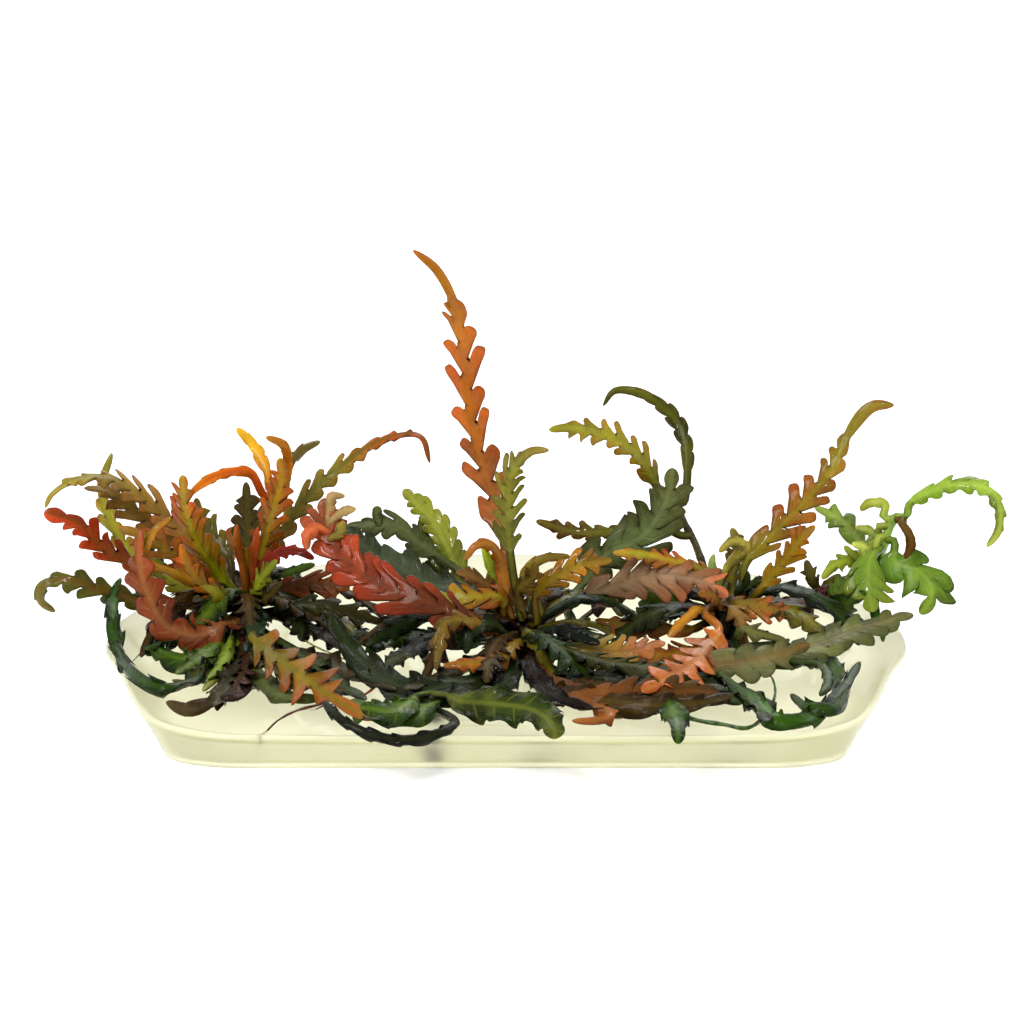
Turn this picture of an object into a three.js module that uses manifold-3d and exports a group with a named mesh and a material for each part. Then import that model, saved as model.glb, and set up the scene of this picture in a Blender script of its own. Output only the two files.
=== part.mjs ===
// A clump of Hygrophila pinnatifida raised in tissue culture: four leafy stems and a side plantlet,
// rooted in the pad of clear nutrient gel that they were grown on.
// Millimetres, +Z up. The origin is the centre of the gel's flat underside, and -Y is the front.
import * as THREE from "three";
import Module from "manifold-3d";

const wasm = await Module();
wasm.setup();

// The gel pad, cast in a tub with tapered walls: round behind, nearly straight along the front.
// Its outlines are given as [across, depth] for the right half, from the front round to the back.
const GEL_RIM = [
  [0, -40], [17, -40], [27, -38.8], [32, -34.5], [34.6, -27], [37.3, -14], [39.7, -3],
  [39, 9], [34.6, 20], [25, 31.2], [12.5, 38],
];
const GEL_FOOT = [
  [0, -34.5], [17, -34.5], [27, -34.3], [31, -32], [32.8, -26], [34.8, -13.5], [36.5, -3],
  [35.9, 8], [31.8, 18.4], [23, 28.6], [11.5, 34.9],
];
const GEL_RIM_BACK = 40;
const GEL_FOOT_BACK = 36.7;
const GEL_RADIUS = 40;
const GEL_HEIGHT = 4.5;
const GEL_FOOT_ROUND = 1.5;
const GEL_RIM_ROUND = 0.5;
const GEL_SEGMENTS = 44;

// Clearances and thicknesses of what grows on it.
const GAP = 0.3;
const POCKET_GAP = 0.55;
const LEAF_THICKNESS = 0.5;
const STALK_HALF_WIDTH = 0.4;
const STALK_GAP = 0.6;
const STALK_STEP = 4;
const FOLD = 0.2;
const SEAM_TOLERANCE = 0.03;

// The shape of a blade. Shares of its half width, and of the cell of length that each lobe has.
const BASE_SPREAD = 0.42;
const LOBE_LEAN = 0.85;
const NEAR_CORNER = { along: 0.2, out: 0.95 };
const FAR_CORNER = { along: 0.7, out: 0.9 };
const CORNER_ROOM = 0.45;
const NOTCH_ROOM = 0.6;
const SHOULDER = { room: 0.35, out: 0.6 };

// The front sight line: leaf paths are written as they are seen from here.
const SIGHT_TILT = THREE.MathUtils.degToRad(11.5);
const SIGHT_DISTANCE = 450;
const SIGHT_ACROSS = 0.6;
const SIGHT_UP = 25.6;
const BASE_UP = 8.69;

// Finishes, as plain colours.
const COLOURS = {
  gel: 0xf1ecc4,
  stem: 0x3a2c26,
  rhizome: 0x4a1512,
  lime: 0x8db82e,
  olive: 0x7c7a1f,
  moss: 0x2f4a1c,
  slate: 0x4c5a50,
  umber: 0x6e4a36,
  copper: 0xb5541c,
  orange: 0xd9701e,
  red: 0xc23a24,
};

// The point seen across and up from the front foot of the gel, at a depth behind the gel's centre.
function sight([across, up, back]) {
  const forward = new THREE.Vector3(0, Math.cos(SIGHT_TILT), -Math.sin(SIGHT_TILT));
  const upward = new THREE.Vector3(0, Math.sin(SIGHT_TILT), Math.cos(SIGHT_TILT));
  const eye = new THREE.Vector3(SIGHT_ACROSS, 0, 0)
    .addScaledVector(upward, SIGHT_UP - BASE_UP)
    .addScaledVector(forward, -SIGHT_DISTANCE);
  const ray = forward
    .multiplyScalar(SIGHT_DISTANCE)
    .addScaledVector(upward, up - SIGHT_UP)
    .add(new THREE.Vector3(across - SIGHT_ACROSS, 0, 0));
  return eye.addScaledVector(ray, (back - eye.y) / ray.y);
}

// A solid from a list of points and triangles, turned the right way out.
function solidFrom(points, triangles) {
  const vertProperties = new Float32Array(points.flatMap((p) => [p.x, p.y, p.z]));
  const closed = (faces) =>
    new wasm.Manifold(
      new wasm.Mesh({ numProp: 3, vertProperties, triVerts: new Uint32Array(faces.flat()) }),
    );
  const made = closed(triangles);
  return made.volume() > 0 ? made : closed(triangles.map(([a, b, c]) => [a, c, b]));
}

// The whole of an outline from its right half and its back, as evenly spaced points.
function outline(rightHalf, back) {
  const [front, ...right] = rightHalf;
  const left = right.toReversed().map(([x, y]) => [-x, y]);
  const corners = [front, ...right, [0, back], ...left].map(([x, y]) => new THREE.Vector3(x, y, 0));
  const curve = new THREE.CatmullRomCurve3(corners, true, "centripetal");
  return curve.getSpacedPoints(GEL_SEGMENTS).slice(0, GEL_SEGMENTS);
}

// A solid from rings of points at their heights, closed at the middle of the first and the last.
function stacked(rings) {
  const segments = rings[0].length;
  const points = rings.flat();
  const foot = points.push(new THREE.Vector3(0, 0, rings[0][0].z)) - 1;
  const head = points.push(new THREE.Vector3(0, 0, rings.at(-1)[0].z)) - 1;
  const top = (rings.length - 1) * segments;
  const triangles = [];
  for (let k = 0; k < segments; k++) {
    const next = (k + 1) % segments;
    triangles.push([foot, next, k], [head, top + k, top + next]);
    for (let ring = 0; ring < top; ring += segments)
      triangles.push(
        [ring + k, ring + next, ring + segments + k],
        [ring + next, ring + segments + next, ring + segments + k],
      );
  }
  return solidFrom(points, triangles);
}

// A round stem or root along a curve, thinning from one radius to another.
function rod(curve, startRadius, endRadius, steps, sides = 8) {
  const frames = curve.computeFrenetFrames(steps);
  const points = [];
  const triangles = [];
  for (let i = 0; i <= steps; i++) {
    const centre = curve.getPointAt(i / steps);
    const radius = THREE.MathUtils.lerp(startRadius, endRadius, i / steps);
    for (let k = 0; k < sides; k++) {
      const turn = (2 * Math.PI * k) / sides;
      points.push(
        centre
          .clone()
          .addScaledVector(frames.normals[i], radius * Math.cos(turn))
          .addScaledVector(frames.binormals[i], radius * Math.sin(turn)),
      );
    }
  }
  for (let i = 0; i < steps; i++)
    for (let k = 0; k < sides; k++) {
      const next = (k + 1) % sides;
      const [a, b] = [i * sides + k, i * sides + next];
      triangles.push([a, b, a + sides], [b, b + sides, a + sides]);
    }
  const last = steps * sides;
  for (let k = 1; k < sides - 1; k++) triangles.push([0, k + 1, k], [last, last + k, last + k + 1]);
  return solidFrom(points, triangles);
}

function smoothCurve(points) {
  const curve = new THREE.CatmullRomCurve3(points, false, "centripetal");
  curve.arcLengthDivisions = 400;
  return curve;
}

// Stems, by points in the object's own frame. Those with a pocket stand in the gel.
const STEMS = {
  left: {
    path: [[-26, 0, 0.7], [-26.2, 0, 5], [-26, 0.4, 9.2]],
    radius: 1.15, colour: "stem", pocket: true,
  },
  left_branch: {
    path: [[-25.4, 1.2, 9.9], [-24.4, 1.6, 13.6], [-23.6, 1.8, 16.6], [-22.7, 2, 19.4]],
    radius: 0.4, colour: "umber",
  },
  centre: {
    path: [[3.6, -14.9, 0.9], [3.2, -14.6, 3], [1.9, -13.4, 6], [1.5, -11.4, 9.6]],
    radius: 1.2, colour: "stem", pocket: true,
  },
  right: {
    path: [[22.6, -6.6, 0.7], [21.9, -6.2, 5], [21.4, -5.6, 9.8]],
    radius: 1.2, colour: "stem", pocket: true,
  },
  right_branch: {
    path: [[20, -4.4, 10.6], [18.9, -3.4, 14.2], [17.6, -2.4, 16.7], [16.7, -1.8, 18.6]],
    radius: 0.4, colour: "olive",
  },
  front: {
    path: [[-6.6, -29.6, 0.7], [-6.8, -30.4, 3.5], [-7, -31.4, 6.6]],
    radius: 0.8, colour: "stem", pocket: true,
  },
  rhizome: {
    path: [[23.6, -3.6, 8.6], [27, -2.4, 8.4], [31.2, -1.6, 9.4], [36, -1, 11.2]],
    radius: 0.65, colour: "rhizome",
  },
  green: {
    path: [[36.9, -0.9, 11.9], [37.4, -0.8, 14], [38.6, -0.7, 17.2]],
    radius: 0.5, colour: "lime",
  },
};
for (const stem of Object.values(STEMS))
  stem.curve = smoothCurve(stem.path.map((point) => new THREE.Vector3(...point)));

// Roots go down from the rhizome's node to just above the gel.
const RHIZOME_ROOTS = [
  [[30.3, -1.7, 9.1], [30.4, -1.9, 7], [30.8, -2.4, 4.9]],
  [[31.9, -1.6, 9.6], [32.7, -2.6, 7.2], [33.6, -3.6, 4.9]],
];
const ROOT_RADIUS = 0.3;

// The start of a leaf at a share of a stem's length. A compass angle gives its side: 0 is to the
// right, 90 to the back, 180 to the left and 270 to the front. Fused leaves start inside the stem.
function leafStart([stem, share, side], fused) {
  const { curve, radius } = STEMS[stem];
  const turn = THREE.MathUtils.degToRad(side);
  const outward = new THREE.Vector3(Math.cos(turn), Math.sin(turn), 0);
  return curve.getPointAt(share).addScaledVector(outward, fused ? 0 : radius + STALK_GAP);
}

// How wide the blade is along its length, as a share of its widest.
function spread(share, taper) {
  const swell = Math.sin(Math.PI * (0.1 + 0.82 * share));
  return (BASE_SPREAD + (1 - BASE_SPREAD) * swell) * (1 - taper * share);
}

// One half of a lobed leaf's outline as [along, out] in mm: the stalk and the notches between the
// lobes, the two corners of each lobe between its notches, and the shoulder of the end lobe.
function halfOutline({ half, lobes, cut = 0.6, stalk = 0.2, taper = 0.2 }, length) {
  const start = stalk * length;
  const cell = (length - start) / (lobes + 0.8);
  const stalkEnd = Math.max(start, 0.5);
  const stalkSteps = Math.ceil(stalkEnd / STALK_STEP);
  const stalkEdge = Array.from({ length: stalkSteps + 1 }, (_, i) => [
    (stalkEnd * i) / stalkSteps,
    STALK_HALF_WIDTH,
  ]);
  const notches = [];
  const corners = [];
  for (let i = 0; i < lobes; i++) {
    const reach = half * spread((i + 0.5) / lobes, taper);
    const lean = LOBE_LEAN * reach * (0.35 + 0.65 * cut);
    const foot = start + i * cell;
    corners.push(
      [NEAR_CORNER, FAR_CORNER].map(({ along, out }) => [foot + along * cell + lean, out * reach]),
    );
    notches.push([foot + cell + lean * (1 - cut), Math.max(STALK_HALF_WIDTH, reach * (1 - cut))]);
  }
  const endWidth = Math.max(0.3, SHOULDER.out * half * spread(1, taper));
  const within = ([along, out], room) => [Math.min(along, length - room * cell), out];
  return {
    spine: [...stalkEdge, ...notches.map((notch) => within(notch, NOTCH_ROOM))],
    corners: corners.map((pair) => pair.map((corner) => within(corner, CORNER_ROOM))),
    shoulder: [length - SHOULDER.room * cell, endWidth],
    stalkSteps,
  };
}

// A leaf: a thin lobed blade that follows its path, its lobes raised a little from the midrib.
function leafSolid(leaf) {
  const { from, path, face = [[0, -0.9, 0.45]], fused = false } = leaf;
  const curve = smoothCurve([leafStart(from, fused), ...path.map(sight)]);
  const length = curve.getLength();
  const { spine, corners, shoulder, stalkSteps } = halfOutline(leaf, length);
  const [faceStart, faceEnd = faceStart] = face;

  const place = ([along, out], lift) => {
    const at = THREE.MathUtils.clamp(along / length, 0, 1);
    const tangent = curve.getTangentAt(at);
    const normal = new THREE.Vector3(...faceStart).lerp(new THREE.Vector3(...faceEnd), at);
    normal.addScaledVector(tangent, -normal.dot(tangent)).normalize();
    const across = new THREE.Vector3().crossVectors(tangent, normal);
    return curve
      .getPointAt(at)
      .addScaledVector(across, out)
      .addScaledVector(normal, lift + FOLD * Math.abs(out));
  };

  // Points on the left and right edges, then the faces between them, one lobe after another.
  const flat = [];
  const add = ([along, out]) => {
    flat.push([along, out], [along, -out]);
    return [flat.length - 2, flat.length - 1];
  };
  const rungs = spine.map(add);
  const lobes = corners.map((pair) => pair.map(add));
  const end = add(shoulder);
  const tip = flat.push([length, 0]) - 1;
  const [last, upper] = [rungs.at(-1), []];
  for (let i = 0; i + 1 < rungs.length; i++) {
    const [[a, b], [c, d]] = [rungs[i], rungs[i + 1]];
    upper.push([a, b, d], [a, d, c]);
  }
  lobes.forEach(([near, far], i) => {
    const [foot, head] = [rungs[stalkSteps + i], rungs[stalkSteps + i + 1]];
    upper.push([near[0], foot[0], far[0]], [far[0], foot[0], head[0]]);
    upper.push([foot[1], near[1], far[1]], [foot[1], far[1], head[1]]);
  });
  upper.push([last[0], last[1], end[0]], [end[0], last[1], end[1]], [end[0], end[1], tip]);

  const count = flat.length;
  const side = (k) => [
    ...rungs.slice(0, stalkSteps + 1).map((rung) => rung[k]),
    ...lobes.flatMap(([near, far], i) => [near[k], far[k], rungs[stalkSteps + i + 1][k]]),
    end[k],
  ];
  const rim = [...side(0), tip, ...side(1).reverse()];
  const triangles = upper.flatMap(([a, b, c]) => [[a, b, c], [a + count, c + count, b + count]]);
  rim.forEach((a, i) => {
    const b = rim[(i + 1) % rim.length];
    triangles.push([a, b, b + count], [a, b + count, a + count]);
  });
  const layer = (lift) => flat.map((point) => place(point, lift));
  return solidFrom([...layer(LEAF_THICKNESS / 2), ...layer(-LEAF_THICKNESS / 2)], triangles);
}

// Ways that a blade faces.
const TO_FRONT = [0, -1, 0.25];
const UP_FRONT = [0, -0.75, 0.65];
const MOSTLY_UP = [0, -0.35, 0.95];
const LEFT_FRONT = [-0.45, -0.85, 0.3];
const RIGHT_FRONT = [0.45, -0.85, 0.3];
const LEFT_UP = [-0.5, -0.4, 0.75];
const RIGHT_UP = [0.5, -0.4, 0.75];

// Leaves, base to tip. Paths are [across, up, back] along the front sight line.
const LEAVES = {
  left_arching: {
    from: ["left", 0.99, 180], half: 2.1, lobes: 6, cut: 0.55, stalk: 0.12, taper: 0.6, colour: "umber",
    face: [UP_FRONT, LEFT_UP],
    path: [[-29.1, 20.8, 1.5], [-32.6, 23.8, 1], [-36.1, 26.8, 0], [-39.8, 28.9, -2],
      [-43.1, 28.7, -4], [-45.4, 27.3, -5.5], [-46.1, 26, -6.5]],
  },
  left_upright: {
    from: ["left", 0.62, 140], half: 1.2, lobes: 4, stalk: 0.45, taper: 0.4, colour: "olive",
    face: [UP_FRONT, TO_FRONT],
    path: [[-31.6, 17.8, 6.5], [-37.1, 20.8, 8.5], [-39.3, 24.3, 9.5], [-40.4, 28, 11],
      [-39.4, 31.5, 12]],
  },
  left_red_tip: {
    from: ["left", 0.8, 172], half: 1.4, lobes: 4, stalk: 0.4, colour: "red",
    path: [[-30.6, 18, 2], [-36.6, 20, 2.6], [-40.6, 22.3, 2.5], [-42.6, 24.3, 2],
      [-46.2, 25.6, 2]],
  },
  left_grey_curl: {
    from: ["left", 0.8, 195], half: 1.6, lobes: 5, stalk: 0.25, taper: 0.5, colour: "olive",
    face: [UP_FRONT, LEFT_FRONT],
    path: [[-30.6, 16.2, -3], [-36.1, 16.5, -4], [-40.6, 17.8, -5], [-43.6, 18.8, -5.5],
      [-46.1, 18.3, -6], [-46.5, 16.8, -6], [-45.1, 15.6, -5.5]],
  },
  left_rust: {
    from: ["left", 0.74, 240], half: 1.9, lobes: 5, cut: 0.5, stalk: 0.12, colour: "copper",
    face: [UP_FRONT, LEFT_FRONT],
    path: [[-28.1, 14.4, -7.5], [-31.1, 13.2, -11.5], [-34.1, 14.4, -12], [-35.6, 17, -11],
      [-36.6, 20.3, -10], [-36.6, 23.8, -9]],
  },
  left_green_rib: {
    from: ["left", 0.99, 255], half: 2.1, lobes: 5, cut: 0.55, stalk: 0.15, colour: "orange",
    face: [LEFT_FRONT],
    path: [[-29.6, 20.8, -2.5], [-31.1, 23.3, -3], [-32, 26, -3], [-32.3, 29.3, -3]],
  },
  left_orange: {
    from: ["left", 0.95, 215], half: 1.4, lobes: 4, stalk: 0.25, colour: "orange",
    path: [[-29.2, 17.6, -4.6], [-31, 18.9, -5], [-32.1, 20.8, -5], [-32.5, 22.4, -5]],
  },
  left_olive: {
    from: ["left", 0.95, 135], half: 1.5, lobes: 4, stalk: 0.3, colour: "olive",
    path: [[-27.6, 20.8, 3.8], [-29.4, 23.3, 6], [-30.5, 24.8, 7.5], [-31, 27, 9]],
  },
  left_tall_rust: {
    from: ["left", 0.98, 310], half: 1.9, lobes: 5, cut: 0.55, stalk: 0.15, colour: "copper",
    face: [TO_FRONT],
    path: [[-24.6, 20.8, -1.5], [-23.8, 23.8, -2], [-23.1, 26.3, -2], [-22.4, 29.3, -1.5],
      [-22.6, 31, -1.5]],
  },
  left_dark: {
    from: ["left", 0.97, 90], half: 1.6, lobes: 4, stalk: 0.2, colour: "moss",
    path: [[-25.9, 20, 5], [-25.8, 23.5, 9], [-25.9, 26.3, 12], [-26, 28.6, 14]],
  },
  left_slanting: {
    from: ["left", 0.8, 110], half: 1.6, lobes: 4, stalk: 0.3, colour: "copper",
    path: [[-28.4, 20.8, 11], [-27.1, 22.3, 14], [-25.2, 24.5, 17], [-23.6, 27, 19]],
  },
  left_long_right: {
    from: ["left", 0.92, 20], half: 1.9, lobes: 7, stalk: 0.15, taper: 0.7, colour: "umber",
    face: [UP_FRONT, RIGHT_UP],
    path: [[-23.6, 20.8, 3.5], [-21.6, 24.8, 4.5], [-19.6, 27.3, 5], [-16.1, 30.3, 5],
      [-12.1, 32.8, 4], [-8.6, 33.1, 3], [-7.6, 30.5, 2]],
  },
  left_brown_right: {
    from: ["left", 0.88, 350], half: 2, lobes: 4, cut: 0.45, stalk: 0.2, colour: "umber",
    face: [UP_FRONT],
    path: [[-22.6, 17.8, -2], [-19.6, 18.2, -3], [-15.6, 18, -4]],
  },
  left_moss_right: {
    from: ["left", 0.66, 350], half: 1.6, lobes: 4, cut: 0.5, stalk: 0.2, colour: "moss",
    face: [UP_FRONT],
    path: [[-21.6, 16, -5.5], [-18.6, 16.3, -6], [-15.1, 15.3, -7], [-11.6, 14.3, -8]],
  },
  left_front_long: {
    from: ["left", 0.62, 310], half: 2, lobes: 6, cut: 0.55, stalk: 0.1, colour: "orange",
    face: [MOSTLY_UP],
    path: [[-23.6, 12.6, -9.5], [-21.8, 11, -15.5], [-19.6, 8.8, -25], [-17, 7.2, -31.5],
      [-14.6, 5.5, -36.5]],
  },
  left_front_purple: {
    from: ["left", 0.6, 262], half: 1.9, lobes: 5, stalk: 0.35, colour: "umber",
    face: [MOSTLY_UP, LEFT_UP],
    path: [[-25.9, 11.3, -14.5], [-26.6, 8.7, -25.5], [-28, 7, -29.5], [-32.1, 6.4, -30.5]],
  },
  left_ribbon: {
    from: ["left", 0.6, 220], half: 0.95, lobes: 6, cut: 0.3, stalk: 0.1, colour: "moss",
    face: [MOSTLY_UP, LEFT_FRONT],
    path: [[-28.4, 11.2, -13.5], [-30.2, 10, -19.5], [-31.8, 8.6, -25.5], [-34.1, 8, -27.5],
      [-36.8, 9, -24], [-38.8, 12.3, -13.5], [-39, 15.4, -9.5]],
  },
  left_crumpled: {
    from: ["left", 0.84, 295], half: 1.6, lobes: 4, cut: 0.35, stalk: 0.15, colour: "moss",
    face: [UP_FRONT],
    path: [[-24.7, 15.4, -6.5], [-24.9, 14.2, -11], [-25.4, 12.9, -16.5], [-26, 11.6, -21]],
  },
  left_under: {
    from: ["left", 0.6, 172], half: 1.6, lobes: 4, cut: 0.5, stalk: 0.3, colour: "moss",
    face: [MOSTLY_UP],
    path: [[-30.2, 13.6, -3.5], [-33.5, 12.8, -8.5], [-36, 11.8, -13]],
  },
  tallest: {
    from: ["centre", 0.97, 95], half: 2.4, lobes: 9, cut: 0.6, stalk: 0.18, taper: 0.3, colour: "orange",
    face: [TO_FRONT, LEFT_FRONT],
    path: [[-0.1, 21.8, -8.5], [-0.6, 24.8, -7], [-1.4, 27.8, -5.5], [-2.6, 31.3, -4],
      [-3.4, 34.8, -3], [-4.1, 40.8, -2], [-5.1, 46.3, -2], [-6.9, 49.8, -3], [-9.3, 51.8, -4.5]],
  },
  centre_front: {
    from: ["centre", 0.97, 270], half: 1.9, lobes: 5, stalk: 0.35, taper: 0.4, colour: "olive",
    face: [TO_FRONT],
    path: [[0.8, 18.8, -13.5], [0.4, 21.8, -14.5], [0.2, 25.8, -15.5], [0.6, 29.6, -16.5],
      [2.4, 31.6, -17.5], [4.3, 31.8, -18.5]],
  },
  centre_round_lobed: {
    from: ["centre", 0.9, 320], half: 1.6, lobes: 4, stalk: 0.25, colour: "olive",
    path: [[2.9, 17, -13], [4.6, 18.8, -13.5], [7.6, 20.3, -13.5], [10.6, 20.8, -13.5]],
  },
  centre_left_short: {
    from: ["centre", 0.9, 205], half: 1.75, lobes: 4, stalk: 0.2, colour: "copper",
    face: [UP_FRONT],
    path: [[-0.6, 17, -14], [-3.1, 17, -15], [-6.1, 16.8, -14.5], [-8, 16.2, -14]],
  },
  centre_coral: {
    from: ["centre", 0.78, 215], half: 3.1, lobes: 6, cut: 0.5, stalk: 0.25, colour: "red",
    face: [UP_FRONT, TO_FRONT],
    path: [[-1.6, 14.6, -17], [-4.6, 15.2, -19], [-8.6, 16.8, -18.5], [-12.6, 18.3, -16.5],
      [-16.1, 20.8, -13.5], [-17.8, 23.6, -11], [-18.2, 27, -9.5]],
  },
  centre_slate: {
    from: ["centre", 0.97, 165], half: 2.4, lobes: 5, cut: 0.5, stalk: 0.25, colour: "slate",
    face: [UP_FRONT],
    path: [[-3, 17.6, -9.5], [-7.6, 18.3, -8], [-10.6, 20, -7], [-13.1, 21.3, -6],
      [-16.1, 24, -4.5]],
  },
  centre_crenate: {
    from: ["centre", 0.97, 130], half: 1.5, lobes: 5, cut: 0.4, stalk: 0.3, colour: "lime",
    face: [LEFT_FRONT],
    path: [[-3, 17.5, -7], [-4.8, 20.3, -5], [-5.6, 21.8, -4], [-6.6, 23.8, -2.5],
      [-8.1, 25.8, -1], [-10.3, 27.8, 0.5]],
  },
  centre_pale_right: {
    from: ["centre", 0.64, 352], half: 2.5, lobes: 4, cut: 0.4, stalk: 0.15, colour: "olive",
    face: [MOSTLY_UP],
    path: [[5.4, 12.4, -15], [8.4, 11.8, -15.5], [11.9, 11.6, -15.5], [15.4, 12.6, -13.5]],
  },
  centre_low_right: {
    from: ["centre", 0.61, 300], half: 2.5, lobes: 5, cut: 0.4, stalk: 0.4, colour: "slate",
    face: [MOSTLY_UP],
    path: [[3.6, 9.8, -21.5], [8.4, 7, -31.5], [14.4, 7.2, -31.5], [18.4, 7.6, -30.5], [21.4, 7.4, -31]],
  },
  centre_mauve: {
    from: ["centre", 0.84, 355], half: 2.5, lobes: 5, cut: 0.45, stalk: 0.3, colour: "umber",
    face: [UP_FRONT, RIGHT_FRONT],
    path: [[3.9, 14.8, -10], [7.4, 16.8, -8.5], [11.4, 18.3, -8], [14.4, 19.1, -8],
      [19.4, 18.6, -9.5], [22.2, 17.1, -11]],
  },
  centre_big_grey: {
    from: ["centre", 0.84, 50], half: 3, lobes: 5, cut: 0.5, stalk: 0.38, colour: "slate",
    face: [TO_FRONT],
    path: [[4.6, 16, -5.5], [6.9, 17.5, -4.6], [9.9, 21.3, -4], [13.9, 23.5, -4.5],
      [16.2, 27.3, -5], [16.7, 30, -5.5]],
  },
  centre_loop: {
    from: ["centre", 0.75, 268], half: 1.1, lobes: 5, stalk: 0.2, colour: "olive",
    face: [UP_FRONT],
    path: [[0.8, 12.3, -20], [-0.6, 10.8, -23.5], [-3.6, 10.4, -24.5], [-6.3, 10.2, -25]],
  },
  centre_sweeping: {
    from: ["centre", 0.61, 235], half: 1.6, lobes: 6, cut: 0.45, stalk: 0.2, colour: "slate",
    face: [MOSTLY_UP, UP_FRONT],
    path: [[-0.6, 9.3, -22.5], [-5.6, 8.2, -27.5], [-8.6, 7.8, -28.5], [-11.6, 8.6, -26.5],
      [-14.1, 10.3, -22], [-16.1, 12.6, -18], [-17.8, 15.6, -15.5]],
  },
  centre_brown_right: {
    from: ["centre", 0.74, 318], half: 1.7, lobes: 5, cut: 0.4, stalk: 0.4, colour: "umber",
    face: [MOSTLY_UP],
    path: [[4.8, 12, -19], [10.4, 10.4, -24.5], [15.4, 9.8, -26], [19.4, 9.4, -26.5]],
  },
  front_green: {
    from: ["front", 0.95, 340], half: 2.4, lobes: 5, cut: 0.4, stalk: 0.15, colour: "moss",
    face: [MOSTLY_UP, UP_FRONT],
    path: [[-4.6, 6.6, -33.5], [-0.6, 6.1, -36], [3.4, 5.6, -38.5], [5, 3.3, -42], [3.9, 1.6, -42.8]],
  },
  front_olive: {
    from: ["front", 0.95, 215], half: 1.9, lobes: 4, cut: 0.4, stalk: 0.2, colour: "olive",
    face: [MOSTLY_UP],
    path: [[-9.4, 6.6, -35.5], [-11.4, 5.6, -39.5], [-14.6, 6, -41]],
  },
  front_thin: {
    from: ["front", 0.75, 285], half: 0.75, lobes: 5, cut: 0.3, stalk: 0.2, colour: "moss",
    face: [UP_FRONT],
    path: [[-5.2, 4, -40], [-7.4, 2, -43.8], [-12.2, 2.4, -44.8], [-16.6, 4.6, -43.5],
      [-18.6, 6.6, -39.5]],
  },
  right_tall: {
    from: ["right", 0.97, 20], half: 2.5, lobes: 7, stalk: 0.15, taper: 0.45, colour: "copper",
    face: [TO_FRONT, LEFT_FRONT],
    path: [[23.9, 20.3, -4.5], [26.9, 23.6, -3], [29.9, 26.6, -1], [32.6, 29.8, 1],
      [34.4, 33.6, 2.5], [36.6, 36.1, 3], [38.8, 36.3, 3]],
  },
  right_short: {
    from: ["right", 0.92, 330], half: 1.4, lobes: 4, stalk: 0.3, colour: "orange",
    path: [[25.4, 17.8, -8], [27.9, 20.8, -9.5], [29.9, 23.3, -11], [30.9, 24.2, -11.5]],
  },
  right_broad: {
    from: ["right", 0.7, 320], half: 2.75, lobes: 6, cut: 0.4, stalk: 0.2, colour: "slate",
    face: [MOSTLY_UP],
    path: [[23.6, 12.6, -11], [25.4, 11.4, -14.5], [27.8, 11.3, -16], [31.4, 12.3, -14],
      [35.4, 13.8, -11], [40.7, 15.4, -8.5]],
  },
  right_toothed: {
    from: ["right", 0.8, 290], half: 1.6, lobes: 4, stalk: 0.2, colour: "orange",
    face: [UP_FRONT],
    path: [[22.9, 16.4, -9.5], [26.4, 15.8, -10.5], [28.9, 14.9, -10.5]],
  },
  right_front_orange: {
    from: ["right", 0.6, 220], half: 1.75, lobes: 4, stalk: 0.3, colour: "orange",
    face: [MOSTLY_UP],
    path: [[18.6, 12, -12], [16.9, 10.4, -18.5], [14, 8.8, -25]],
  },
  right_left_green: {
    from: ["right", 0.88, 180], half: 1.9, lobes: 4, cut: 0.4, stalk: 0.25, colour: "moss",
    face: [UP_FRONT],
    path: [[18.4, 16.3, -5.5], [15.9, 16.3, -5.5], [13.2, 15, -6]],
  },
  right_left_rust: {
    from: ["right", 0.75, 200], half: 1.4, lobes: 4, stalk: 0.25, colour: "copper",
    face: [UP_FRONT],
    path: [[18.4, 13.8, -9.5], [15.4, 13.8, -10], [11.4, 14.3, -10.5], [8.9, 14.8, -10.5]],
  },
  right_loop: {
    from: ["right", 0.6, 255], half: 1, lobes: 7, cut: 0.35, stalk: 0.3, colour: "moss",
    face: [MOSTLY_UP, UP_FRONT],
    path: [[20.4, 11.2, -14.5], [22.2, 8.7, -26.5], [25.3, 6.4, -34.5], [27, 4.8, -38],
      [29.6, 4.7, -37.5], [32, 6, -33], [33.9, 8.2, -27.5], [35.4, 10.6, -21.5]],
  },
  branch_reaching: {
    from: ["right_branch", 0.98, 180], half: 1.9, lobes: 5, stalk: 0.15, colour: "olive",
    face: [UP_FRONT, LEFT_FRONT],
    path: [[15.2, 28, -2.5], [13.1, 31.3, -4], [9.9, 33.3, -5.5], [6.4, 34, -7], [4.3, 33.8, -8]],
  },
  branch_red_tip: {
    from: ["right_branch", 0.6, 190], half: 1.1, lobes: 5, stalk: 0.4, colour: "olive",
    path: [[14.4, 24.8, -1.5], [10.4, 23.6, -1], [6.4, 23.7, -1], [3, 24.7, -1.5]],
  },
  branch_hooked: {
    from: ["right_branch", 0.98, 40], half: 1.5, lobes: 6, stalk: 0.2, taper: 0.4, colour: "moss",
    face: [TO_FRONT, LEFT_FRONT],
    path: [[18, 27.5, 0], [18, 32.3, 3], [16.6, 35.3, 5], [13.9, 37.3, 6], [10.9, 37.7, 6],
      [9.7, 36.2, 5.5]],
  },
  green_arching: {
    from: ["green", 0.95, 350], half: 1.75, lobes: 6, stalk: 0.12, taper: 0.5, colour: "lime",
    face: [UP_FRONT, RIGHT_FRONT],
    path: [[40.4, 26.4, -1.5], [41.9, 27.3, -2.5], [44.4, 28.2, -4], [47.4, 28.1, -5.5],
      [49.1, 26.5, -7], [49.2, 23.8, -8], [48.1, 22.1, -8.5]],
  },
  green_upper_left: {
    from: ["green", 0.55, 160], half: 1.25, lobes: 3, stalk: 0.3, colour: "lime",
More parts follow.
